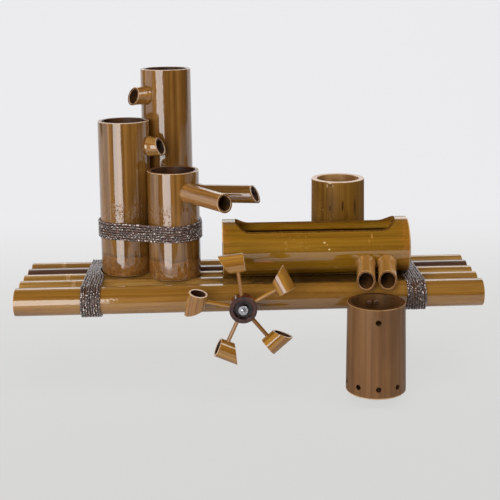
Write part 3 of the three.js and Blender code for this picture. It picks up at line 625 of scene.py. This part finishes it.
def outer_rows(foot, rim, length, nodes, ridge, banded):
    """Rows of a culm's skin between its two bevelled ends, with material 4 at banded nodes."""
    steps = max(2, round(length / ROW_STEP))
    heights = {RIM_BEVEL + (length - 2 * RIM_BEVEL) * step / steps for step in range(steps + 1)}
    for node in nodes:
        for step in range(-NODE_ROWS, NODE_ROWS + 1):
            height = node + step * NODE_ROW_STEP
            if RIM_BEVEL < height < length - RIM_BEVEL:
                heights.add(height)
    rows = []
    for height in sorted(heights):
        radius = foot + (rim - foot) * height / length
        near = banded and any(abs(height - node) < NODE_BAND for node in nodes)
        rows.append((radius + sum(node_swell(height - node, ridge) for node in nodes), height,
                     4 if near else 0))
    return rows


def culm_outline(foot, rim, length, wall, nodes, ridge, low_bore, high_bore, banded=False):
    """Skin 0, sawn ends 1, inner walls 2 and worn edges 3, with bores of two depths."""
    *rows, (radius, height, _) = outer_rows(foot, rim, length, nodes, ridge, banded)
    low, high = foot - wall, rim - wall
    return [(0, low_bore, 2), (low, low_bore, 2), (low, RIM_BEVEL, 2), (low + RIM_BEVEL, 0, 1),
            (foot - RIM_BEVEL, 0, 3), *rows, (radius, height, 3), (rim - RIM_BEVEL, length, 1),
            (high + RIM_BEVEL, length, 1), (high, length - RIM_BEVEL, 2),
            (high, length - high_bore, 2), (0, length - high_bore, 2)]


def make_poles():
    for index, name in enumerate(POLE_NAMES):
        start, length, radius = along_box(name, 0)
        radius -= POLE_RIDGE
        wall = POLE_WALLS[min(index, 1)]
        nodes = [share * length for share in POLE_NODE_SHARES[index]]
        bores = (nodes[0] - DIAPHRAGM / 2, length - nodes[-1] - DIAPHRAGM / 2)
        ridge = THIN_POLE_RIDGE if index else FAINT_RIDGE
        outline = culm_outline(radius, radius, length, wall, nodes, ridge, *bores,
                               banded=name in BANDED_POLES)
        seed = index + 1.3
        skin = {"front_pole": POLE_SKIN, "second_pole": SECOND_POLE_SKIN,
                "fourth_pole": PURPLE_POLE_SKIN}.get(name, THIN_POLE_SKIN)
        node_skin = SECOND_NODE_SKIN if name == "second_pole" else NODE_SKIN
        skins = [seeded(skin, seed), SAWN_BROWN, INSIDE, SAWN, seeded(node_skin, seed)]
        mesh = revolve(outline, skins, wobble=grown(seed))
        piece(name, mesh, lying_along(start, RIGHT))


def spout_frame(origin, azimuth, tilt):
    turn, fall = radians(azimuth), radians(tilt)
    ahead = Vector((cos(turn) * cos(fall), sin(turn) * cos(fall), -sin(fall)))
    return lying_along(origin, ahead)


def spout_mesh(root, mouth, slant, turn, seed, skin=SPOUT_SKIN, edges=SAWN):
    """A thin culm with a collar near its root and a mouth cut at two angles: slant makes the
    lower lip longer, and turn the lip on its -Y side (that of local +Y) shorter."""
    inner = SPOUT_RADIUS - SPOUT_WALL
    wall_at = root + SPOUT_INSET + POT_SIZES["left_pot"][0]
    edge = RIM_BEVEL / 2
    outline = [(inner, root, 2), (inner + RIM_BEVEL, root, 1), (SPOUT_RADIUS, root, 0)]
    steps = max(4, round((mouth - root) / (ROW_STEP / 4)))
    for step in range(1, steps):
        height = root + (mouth - RIM_BEVEL - root) * step / steps
        rise = SPOUT_COLLAR * exp(-(((height - wall_at) / SPOUT_COLLAR_LENGTH) ** 2))
        outline.append((SPOUT_RADIUS + rise, height, 0))
    outline += [(SPOUT_RADIUS, mouth - RIM_BEVEL, 3), (SPOUT_RADIUS - edge, mouth, 1),
                (inner + edge, mouth, 3), (inner, mouth - RIM_BEVEL, 2)]
    shear = (-tan(radians(slant)), -tan(radians(turn)), root, mouth)
    return revolve(outline, [seeded(skin, seed), SAWN_BROWN, SPOUT_INSIDE, edges], SMALL_SIDES * 2,
                   grown(seed), shear)


def pot_axis(name):
    return along_box(name, 2)[:2]


OTHER_LOOKS = {  # of the pots that aren't bound
    "back_cup": (CUP_SKIN, SAWN, CUP_INSIDE, SAWN),
    "filter_pot": (FILTER_SKIN, SAWN_DARK, FILTER_INSIDE, SAWN_TAN),
}
HOLE_REACH = 0.05  # from the filter pot's axis, past its wall


def make_pots():
    """Pots and the spouts that stand in their walls."""
    holes = {name: [] for name in POT_SIZES}
    for index, (name, (pot, drop, azimuth, tilt, mouth, slant, turn)) in enumerate(POT_SPOUTS.items()):
        foot, height = pot_axis(pot)
        wall, _, _, high_radius = POT_SIZES[pot]
        matrix = spout_frame(foot + Vector((0, 0, height - drop)), azimuth, tilt)
        root = high_radius - wall - SPOUT_INSET
        skin = {"trough_feed_spout": SHADED_SPOUT_SKIN, "left_pot_spout": GOLDEN_SKIN}.get(name, SPOUT_SKIN)
        mesh = spout_mesh(root, mouth, slant, turn, 21.7 + 3.1 * index, skin)
        piece(name, mesh, matrix)
        holes[pot].append((bar(SPOUT_BORE, 0, mouth, INSIDE), matrix))
    foot, _ = pot_axis("tallest_pot")
    low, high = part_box("inlet_nipple")
    inlet = lying_along(Vector((foot.x, foot.y, (low.z + high.z) / 2)), BACK)
    holes["tallest_pot"].append((bar(GROMMET_RADIUS, 0, high.y - foot.y, INSIDE), inlet))
    foot, height = pot_axis("filter_pot")
    for index in range(WEEP_COUNT):
        turn = -pi / 2 + WEEP_TURN + 2 * pi * index / WEEP_COUNT
        weep = lying_along(foot + Vector((0, 0, WEEP_RISE)), Vector((cos(turn), sin(turn), 0)))
        holes["filter_pot"].append((bar(WEEP_RADIUS, 0, HOLE_REACH, INSIDE), weep))
    ahead = Vector((sin(DRIVER_TURN), -cos(DRIVER_TURN), 0))
    driver = lying_along(foot + Vector((0, 0, height - DRIVER_DROP)), ahead)
    holes["filter_pot"].append((bar(DRIVER_RADIUS, 0, HOLE_REACH, INSIDE), driver))
    for index, (name, (wall, node, low_radius, high_radius)) in enumerate(POT_SIZES.items()):
        foot, height = pot_axis(name)
        seed = 5.9 + 2.3 * index
        outline = culm_outline(low_radius, high_radius, height, wall, [], FAINT_RIDGE,
                               node - DIAPHRAGM / 2, height - node - DIAPHRAGM / 2)
        skin, *others = OTHER_LOOKS.get(name, (POT_SKIN, SAWN_BROWN, INSIDE, SAWN))
        mesh = revolve(outline, [seeded(skin, seed), *others], wobble=grown(seed))
        matrix = Matrix.Translation(foot)
        if holes[name]:
            mesh = carve(mesh, matrix, holes[name])
        piece(name, mesh, matrix)


def trough_opening(length, material):
    """The prism that opens the trough's top, with a sloping end at each side."""
    floor = TROUGH_RADIUS - TROUGH_CUT_DEPTH
    top = TROUGH_RADIUS * 1.3
    left, right = TROUGH_CUT_INSET, length - TROUGH_CUT_INSET
    steps = 14
    profile = [(top, left)]
    for step in range(steps + 1):
        share = step / steps
        bend = (1 - share) ** 2 * TROUGH_RADIUS + (1 - (1 - share) ** 2) * floor
        profile.append((bend, left + TROUGH_CUT_SLOPE * share))
    for step in range(steps + 1):
        share = step / steps
        bend = (1 - share ** 2) * floor + share ** 2 * TROUGH_RADIUS
        profile.append((bend, right - TROUGH_CUT_SLOPE * (1 - share)))
    profile.append((top, right))
    half = TROUGH_RADIUS + CUT_OVERRUN
    count = len(profile)
    edge = sqrt(TROUGH_RADIUS ** 2 - floor ** 2)
    points = [(x - TROUGH_CUT_LEAN * (y + edge), y, z) for y in (-half, half) for x, z in profile]
    faces = [list(range(count)), list(range(2 * count - 1, count - 1, -1))]
    faces += [[k, (k + 1) % count, count + (k + 1) % count, count + k] for k in range(count)]
    return face_outwards(new_mesh("opening", points, faces, material))


def make_trough():
    low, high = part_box("trough")
    length = high.x - low.x
    centre = Vector((low.x, (low.y + high.y) / 2, high.z - TROUGH_RADIUS - POT_RIDGE))
    pole_low, pole_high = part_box("front_pole")
    pole_z = (pole_low.z + pole_high.z) / 2
    pole_y = (pole_low.y + pole_high.y) / 2
    matrix = lying_along(centre, RIGHT)
    closing = TROUGH_RECESS + DIAPHRAGM / 2
    nodes = [closing, length - closing]
    outline = culm_outline(TROUGH_RADIUS, TROUGH_RADIUS, length, TROUGH_WALL, nodes, FAINT_RIDGE,
                           TROUGH_RECESS, TROUGH_RECESS)
    mesh = revolve(outline, [seeded(TROUGH_SKIN, 3.3), SAWN, INSIDE, SAWN], wobble=grown(3.3))
    start = TROUGH_RECESS + DIAPHRAGM
    chamber = bar(TROUGH_RADIUS - TROUGH_WALL, start, length - start, TROUGH_INSIDE, CULM_SIDES)
    cutters = [(chamber, matrix), (trough_opening(length, CUT_EDGE), matrix)]
    lash_low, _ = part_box("right_lashing")
    notch = block((lash_low.x - CORD_RADIUS, low.y, low.z - CUT_OVERRUN),
                  (high.x + CUT_OVERRUN, high.y, TROUGH_NOTCH_TOP), SAWN_BROWN)
    cutters.append((notch, Matrix.Identity(4)))
    fall = radians(TROUGH_SPOUT_TILT)
    pole_radius = (pole_high.z - pole_low.z) / 2 - POLE_RIDGE
    rise = (pole_radius + SPOUT_RADIUS + TROUGH_SPOUT_LIFT) / cos(fall)
    axis_z = pole_z + rise + (centre.y - pole_y) * tan(fall)
    root = TROUGH_RADIUS - TROUGH_WALL - SPOUT_INSET
    for index, name in enumerate(("trough_left_spout", "trough_right_spout")):
        x = high.x - TROUGH_SPOUT_FROM_RIGHT + (2 * index - 1) * TROUGH_SPOUT_SIDE
        place = spout_frame(Vector((x, centre.y, axis_z)), TROUGH_SPOUT_YAW, TROUGH_SPOUT_TILT)
        spout = spout_mesh(root, TROUGH_SPOUT_MOUTH, TROUGH_SPOUT_SLANT, 0, 40.3 + 5 * index,
                           GOLDEN_SKIN, GOLDEN_EDGE)
        piece(name, spout, place)
        cutters.append((bar(SPOUT_BORE, 0, TROUGH_SPOUT_MOUTH, INSIDE), place))
    piece("trough", carve(mesh, matrix, cutters), matrix)


# Fittings
GROMMET_RADIUS = 0.0072
SCREW_SIZES = {  # shank, length, head radius, head height, tip
    "axle_screw": (0.002, 0.052, 0.0036, 0.0026, 0.006),
    "filter_screw_left": (0.0016, 0.02, 0.0032, 0.002, 0.004),
    "filter_screw_right": (0.0016, 0.02, 0.0032, 0.002, 0.004),
}
SLOT_WIDTH = 0.001
THREAD_PITCH = 0.0015
THREAD_DEPTH = 0.0004
RING_EDGE = 0.0002
NIPPLE_BORE = 0.004
BARBS = 3
BARB_PITCH = 0.004
BARB_LENGTH = 0.0036
BARB_DEPTH = 0.0006
NIPPLE_ENDS = (0.0004, 0.0008)  # how much thinner its root and its tip are
GROMMET_LIP = 0.002
GROMMET_GAP = 0.0002


def make_screw(name):
    """A cross-slotted round-headed wood screw. Its head's underside is at the frame's origin."""
    shank, length, head, height, tip = SCREW_SIZES[name]
    origin, _, _ = along_box(name, 1)
    origin.y += height
    matrix = lying_along(origin, BACK)
    steps = 10
    outline = [(0, -height, 0)]
    for step in range(1, steps + 1):
        turn = pi / 2 * step / steps
        outline.append((head * sin(turn), -height * (0.35 + 0.65 * cos(turn)), 0))
    outline += [(head, 0, 0), (shank, 0, 0)]
    turns = round((length - tip) / THREAD_PITCH)
    for turn in range(turns):
        start = THREAD_PITCH * turn
        outline += [(shank, start + THREAD_PITCH * 0.2, 0),
                    (shank - THREAD_DEPTH, start + THREAD_PITCH * 0.7, 0)]
    outline += [(shank, length - tip, 0), (0, length, 0)]
    steel = STEEL if name == "axle_screw" else STAINED_STEEL
    mesh = revolve(outline, [steel], SMALL_SIDES)
    long, short = head * 0.7, SLOT_WIDTH / 2
    floor = -height + height * 0.55
    cross = [(block((-x, -y, -2 * height), (x, y, floor), steel), matrix)
             for x, y in ((long, short), (short, long))]
    piece(name, carve(mesh, matrix, cross), matrix)


def make_ring(name, material, body="fountain"):
    """A washer, bush or spacer on the wheel's screw, read from its CAD box: it runs along Y."""
    start, length, outer = along_box(name, 1)
    edge = RING_EDGE
    outline = [(AXLE_BORE, 0, 0), (outer - edge, 0, 0), (outer, edge, 0), (outer, length - edge, 0),
               (outer - edge, length, 0), (AXLE_BORE, length, 0)]
    piece(name, revolve(outline, [material], SMALL_SIDES), lying_along(start, BACK), body=body)


def make_inlet():
    """A barbed nipple in a rubber grommet at the back of the tallest pot."""
    start, length, outer = along_box("inlet_nipple", 1)
    neck = outer - BARB_DEPTH
    outline = [(NIPPLE_BORE, 0, 0), (outer - NIPPLE_ENDS[0], 0, 0)]
    for barb in range(BARBS):
        begin = length - BARB_PITCH * (BARBS - barb)
        outline += [(neck, begin, 0), (outer, begin, 0), (neck, begin + BARB_LENGTH, 0)]
    outline += [(outer - NIPPLE_ENDS[1], length, 0), (NIPPLE_BORE, length, 0)]
    mesh = revolve(outline, [NIPPLE], SMALL_SIDES)
    piece("inlet_nipple", mesh, lying_along(start, BACK))
    low, length, flange = along_box("inlet_grommet", 1)
    start.y = low.y
    bore, lip = outer + GROMMET_GAP, length - GROMMET_LIP
    outline = [(bore, 0, 0), (GROMMET_RADIUS, 0, 0), (GROMMET_RADIUS, lip, 0), (flange, lip, 0),
               (flange, length - RIM_BEVEL, 0), (flange - RIM_BEVEL, length, 0), (bore, length, 0)]
    mesh = revolve(outline, [RUBBER], SMALL_SIDES)
    piece("inlet_grommet", mesh, lying_along(start, BACK))


# Waterwheel
def tube(bore, inner, outer, low, high, web, edge, rows):
    """The outline of a short tube with a wall between the heights web: skin 0, ends 1, inside 2."""
    span = high - low - 2 * edge
    skin = [(outer, low + edge + span * row / rows, 0) for row in range(rows)]
    return [(bore, web[0], 2), (inner, web[0], 2), (inner, low + edge, 1), (inner + edge, low, 1),
            (outer - edge, low, 1), *skin, (outer, high - edge, 1), (outer - edge, high, 1),
            (inner + edge, high, 1), (inner, high - edge, 2), (inner, web[1], 2), (bore, web[1], 2)]


def make_wheel():
    half, inner, web = HUB_THICKNESS / 2, HUB_RADIUS - HUB_WALL, HUB_WEB / 2
    outline = tube(BUSH_RADIUS + WHEEL_GAP, inner, HUB_RADIUS, -half, half, (-web, web), RIM_BEVEL,
                   HUB_ROWS)
    mesh = revolve(outline, [HUB_SKIN, HUB_SAWN, HUB_INSIDE], wobble=grown(2.2))
    matrix = lying_along(WHEEL_AXIS, BACK)
    reach = (inner - SOCKET_REACH[0], HUB_RADIUS + SOCKET_REACH[1])
    sockets = []
    for index, angle in enumerate(SPOKE_ANGLES):
        arm = Matrix.Translation(WHEEL_AXIS) @ Matrix.Rotation(-radians(angle), 4, "Y")
        along = arm @ Matrix.Rotation(pi / 2, 4, "Y")
        sockets.append((bar(SPOKE_RADIUS + WHEEL_GAP, *reach, HUB_INSIDE), along))
        make_spoke(f"wheel_spoke_{index + 1}", along, 60 + index)
        bucket = (arm @ Matrix.Translation(BUCKET_CIRCLE * RIGHT)
                  @ Matrix.Rotation(-radians(BUCKET_TWISTS[index]), 4, "X"))
        make_bucket(f"wheel_bucket_{index + 1}", bucket, along, 70.7 + 3 * index)
    piece("wheel_hub", carve(mesh, matrix, sockets), matrix, body="wheel")


def make_spoke(name, matrix, seed):
    root, tip = SPOKE_SPAN
    rows = [(SPOKE_RADIUS, root + (tip - root) * row / SPOKE_ROWS, 0) for row in range(SPOKE_ROWS)]
    outline = [(0, root, 1), *rows, (SPOKE_RADIUS, tip, 1), (0, tip, 1)]
    skins = [seeded(WHEEL_SKIN, seed), SAWN]
    mesh = revolve(outline, skins, SMALL_SIDES, grown(seed, SPOKE_WAVE))
    piece(name, mesh, matrix, body="wheel")


def make_bucket(name, matrix, spoke, seed):
    """A short culm: a square mouth below the spoke, a wall inside, a slanted end above it."""
    inner = BUCKET_RADIUS - BUCKET_WALL
    outline = tube(0, inner, BUCKET_RADIUS, -BUCKET_MOUTH, BUCKET_MIDDLE, BUCKET_WEB, RIM_BEVEL / 2,
                   BUCKET_ROWS)
    mesh = revolve(outline, [seeded(WHEEL_SKIN, seed), SAWN, INSIDE], SMALL_SIDES * 2, grown(seed),
                   (BUCKET_SLOPE, 0, BUCKET_WEB[1], BUCKET_MIDDLE))
    below = BUCKET_CIRCLE - 2 * BUCKET_RADIUS
    socket = bar(SPOKE_RADIUS + WHEEL_GAP, below, SPOKE_SPAN[1], INSIDE)
    piece(name, carve(mesh, matrix, [(socket, spoke)]), matrix, body="wheel")


# Cords
def tangent_angle(first, second):
    distance = hypot(second[0] - first[0], second[1] - first[1])
    turn = atan2(second[1] - first[1], second[0] - first[0])
    return turn - acos((first[2] - second[2]) / distance)


def belt(circles):
    """Places a step apart on a taut loop round circles (across, up, radius), from the middle of
    the straight between the last circle and the first."""
    corners = []
    for index, circle in enumerate(circles):
        start = tangent_angle(circles[index - 1], circle)
        sweep = tangent_angle(circle, circles[(index + 1) % len(circles)]) - start
        sweep %= 2 * pi
        steps = max(2, round(sweep * circle[2] / CORD_STEP))
        corners.append([(circle[0] + circle[2] * cos(start + sweep * k / steps),
                         circle[1] + circle[2] * sin(start + sweep * k / steps))
                        for k in range(steps + 1)])
    places = []
    for index, arc in enumerate(corners):
        places += arc
        after = corners[(index + 1) % len(corners)][0]
        gap = dist(arc[-1], after)
        steps = max(2, round(gap / CORD_STEP))
        straight = [tuple(a + (b - a) * k / steps for a, b in zip(arc[-1], after))
                    for k in range(1, steps)]
        places += straight
    middle = len(places) - len(straight) // 2
    return places[middle:] + places[:middle]


def unit(rows):
    return rows / np.linalg.norm(rows, axis=1)[:, None]


def cord_mesh(circles, loops, lift, seed):
    """A twisted cord wound round the circles. lift turns (across, up, along) into a point."""
    places = belt(circles)
    count = len(places)
    total = loops * count
    route = np.array([lift(*places[k % count], (k / count - loops / 2) * CORD_PITCH)
                      for k in range(total + 1)])
    run = unit(np.gradient(route, axis=0))
    axis = np.array(lift(0, 0, 1)) - np.array(lift(0, 0, 0))
    out = unit(np.cross(run, axis))
    side = np.cross(run, out)
    slack, drift = [np.array([noise.noise(Vector((pace * k, seed, row))) for k in range(total + 1)])
                    for pace, row in ((0.02, 0), (0.011, 9))]
    route = route + out * (CORD_SLACK * (slack - 0.6))[:, None] + side * (CORD_DRIFT * drift)[:, None]
    travelled = np.concatenate([[0], np.cumsum(np.linalg.norm(np.diff(route, axis=0), axis=1))])
    twist = 2 * pi * travelled / CORD_TWIST
    angles = np.arange(CORD_SIDES) * 2 * pi / CORD_SIDES
    lobes = np.abs(np.cos(1.5 * (angles[None, :] - twist[:, None])))
    radii = CORD_RADIUS * (CORD_LOBE_LOW + (1 - CORD_LOBE_LOW) * lobes)
    rings = (route[:, None, :] + out[:, None, :] * (radii * np.cos(angles))[:, :, None]
             + side[:, None, :] * (radii * np.sin(angles))[:, :, None])
    points = rings.reshape(-1, 3).tolist()
    faces = []
    for ring in range(total):
        base = ring * CORD_SIDES
        for corner in range(CORD_SIDES):
            first, second = base + corner, base + (corner + 1) % CORD_SIDES
            faces.append((first, second, second + CORD_SIDES, first + CORD_SIDES))
    faces.append(tuple(range(CORD_SIDES - 1, -1, -1)))
    faces.append(tuple(range(total * CORD_SIDES, (total + 1) * CORD_SIDES)))
    return face_outwards(new_mesh("cord", points, faces, CORD))


def right_lift():
    low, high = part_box("right_lashing")
    middle = (low.x + high.x) / 2
    return lambda across, up, along: (middle + along, across, up)


def left_lift():
    """The left lashing runs straight, and its turns crowd together where the left pot stands."""
    foot, _ = pot_axis("left_pot")
    width = RAFT_LOOPS * CORD_PITCH
    free = foot.x - POT_SIZES["left_pot"][2] - CORD_RADIUS
    crowd = (LEFT_LASHING_RIGHT - free) / width

    def lift(across, up, along):
        share = 1 - crowd * exp(-(((across - foot.y) / SQUEEZE_REACH) ** 2))
        return (LEFT_LASHING_RIGHT - width + (along + width / 2) * share, across, up)
    return lift


def make_cords():
    circles = []
    for pole in ("back_pole", "front_pole"):
        low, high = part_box(pole)
        radius = (high.z - low.z) / 2
        circles.append(((low.y + high.y) / 2, (low.z + high.z) / 2, radius + CORD_LIFT))
    lifts = {"left_lashing": left_lift(), "right_lashing": right_lift()}
    for seed, (name, lift) in enumerate(lifts.items()):
        mesh = cord_mesh(circles, RAFT_LOOPS, lift, seed)
        piece(name, mesh)
    low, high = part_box("pot_lashing")
    middle = (low.z + high.z) / 2
    circles = []
    for name in BOUND_POTS:
        foot, height = pot_axis(name)
        _, _, low_radius, high_radius = POT_SIZES[name]
        share = (middle - foot.z) / height
        radius = low_radius + (high_radius - low_radius) * share
        circles.append((foot.x, foot.y, radius + CORD_LIFT))
    mesh = cord_mesh(circles, POT_LOOPS, lambda u, v, s: (u, v, middle + s), 5)
    piece("pot_lashing", mesh)


# Studio
FLOOR_Z = -0.1
FLOOR_FRONT = -0.85
TONE_FRONT = -0.56  # where the paper's darkest tone starts
MIRRORED = (0.41, 0.91, -0.635)  # the line up to which varnish doesn't mirror the floor
LINE_BLUR = 0.004
FLOOR_BACK = 1.6
FLOOR_HALF = 2.4
WALL_HEIGHT = 1.9
FLOOR_BEND = 0.5
PAPER_GLOW = 0.885  # the share of the paper's tone that its own light gives


def stage_material():
    """Pale paper: the camera sees it almost evenly lit, darker towards the viewer."""
    net = Net("paper")
    net.surface(Base_Color=net.mix(net.noise(300, 3), (222, 222, 222), (230, 230, 230)), Roughness=0.9)
    light = net.add("ShaderNodeLightPath")
    depth = net.part("Y")
    ahead = net.plus(net.times(net.part("X"), MIRRORED[0]), net.times(depth, MIRRORED[1]))
    tone = net.tint((213, 213, 211), depth, TONE_FRONT, 0.3, 1, (221, 221, 219))
    glow = net.add("ShaderNodeEmission", {"Color": net.tint(tone, depth, 0.1, 1.0, 1, (240, 240, 242))})
    mirrored = net.times(light.outputs["Is Glossy Ray"], net.ramp(depth, 0.2, 0.8))
    seen = net.plus(light.outputs["Is Camera Ray"], mirrored)
    both = net.add("ShaderNodeMixShader", {
        0: net.times(seen, PAPER_GLOW), 1: net.shader.outputs["BSDF"], 2: glow.outputs["Emission"]})
    clear = net.add("ShaderNodeBsdfTransparent")
    gap = net.times(light.outputs["Is Glossy Ray"],
                    net.ramp(ahead, MIRRORED[2] - LINE_BLUR, MIRRORED[2] + LINE_BLUR, 1, 0))
    opened = net.add("ShaderNodeMixShader", {
        0: gap, 1: both.outputs["Shader"], 2: clear.outputs["BSDF"]})
    put(net.tree.nodes["Material Output"].inputs["Surface"], opened.outputs["Shader"])
    return net.material


def make_stage():
    """A sheet of paper that lies flat and curves up behind the object."""
    bend = FLOOR_BEND
    steps = 24
    profile = [(FLOOR_FRONT, FLOOR_Z)]
    profile += [(FLOOR_BACK - bend + bend * sin(pi / 2 * k / steps),
                 FLOOR_Z + bend - bend * cos(pi / 2 * k / steps)) for k in range(steps + 1)]
    profile.append((FLOOR_BACK, WALL_HEIGHT))
    points = [(side * FLOOR_HALF, y, z) for y, z in profile for side in (-1, 1)]
    faces = [(2 * k, 2 * k + 1, 2 * k + 3, 2 * k + 2) for k in range(len(profile) - 1)]
    mesh = new_mesh("paper", points, faces, stage_material())
    mesh.shade_smooth()
    add_object("paper", mesh)


LIGHTS_AIM = Vector((0, -0.03, 0.1))
LIGHTS = {  # place, width, height, power, and whether varnish mirrors it
    "softbox": ((-0.84, -1.5, 0.19), 1.05, 1.24, 17, True),
    "front fill": ((-0.5, -1.6, 0.7), 1.2, 1.2, 9, False),
    "left panel": ((-1.9, -0.2, 0.5), 1.4, 1.8, 7, True),
    "top": ((0.1, -0.3, 1.9), 1.6, 1.2, 14, False),
    "back strip": ((0, 1.35, 0.95), 2.6, 0.5, 7, True),
    "right fill": ((1.8, -1.2, 0.9), 1.0, 1.0, 3, False),
    "right lamp": ((1.2, -0.45, 1.25), 0.7, 0.7, 5, True),
}


def make_lights():
    for name, (place, width, height, power, shine) in LIGHTS.items():
        data = bpy.data.lights.new(name, "AREA")
        data.shape = "RECTANGLE"
        data.size, data.size_y = width, height
        data.energy = power
        made = add_object(name, data)
        made.location = place
        made.rotation_euler = (LIGHTS_AIM - Vector(place)).to_track_quat("-Z", "Y").to_euler()
        made.visible_glossy = shine
        made.visible_camera = False


AMBIENT = 0.12  # how bright the world is for matt surfaces, in mirrors and behind the object
MIRRORED_AMBIENT = 0.03
BACKGROUND = 0.95


def make_world():
    world = bpy.data.worlds.new("studio")
    scene.world = world
    world.use_nodes = True
    tree = world.node_tree
    ray = add_node(tree, "ShaderNodeLightPath").outputs
    level = add_node(tree, "ShaderNodeMapRange", {
        "Value": ray["Is Glossy Ray"], "To Min": AMBIENT, "To Max": MIRRORED_AMBIENT})
    seen = add_node(tree, "ShaderNodeMapRange", {
        "Value": ray["Is Camera Ray"], "To Min": level.outputs["Result"], "To Max": BACKGROUND})
    background = tree.nodes["Background"].inputs
    put(background["Color"], (214, 216, 220))
    put(background["Strength"], seen.outputs["Result"])


def make_camera():
    data = bpy.data.cameras.new("camera")
    data.sensor_width = SENSOR
    data.lens = FOCAL_PIXELS / PICTURE_PIXELS * SENSOR
    data.clip_start, data.clip_end = 0.05, 20
    turn = (Matrix.Rotation(-CAMERA_YAW, 4, "Z") @ Matrix.Rotation(pi / 2 - CAMERA_PITCH, 4, "X")
            @ Matrix.Rotation(-CAMERA_ROLL, 4, "Z"))
    data.shift_x = 0.5 - LENS_MIDDLE[0] / PICTURE_PIXELS
    data.shift_y = LENS_MIDDLE[1] / PICTURE_PIXELS - 0.5
    scene.camera = add_object("camera", data, Matrix.Translation(CAMERA_PLACE) @ turn)


make_camera()
make_world()
make_lights()
make_stage()
make_poles()
make_pots()
make_trough()
for screw in SCREW_SIZES:
    make_screw(screw)
make_ring("front_washer", STEEL)
make_ring("back_washer", STEEL)
make_ring("axle_spacer", BUSH)
make_ring("wheel_bush", BUSH, body="wheel")
make_inlet()
make_wheel()
make_cords()

scene.view_settings.view_transform = "Standard"
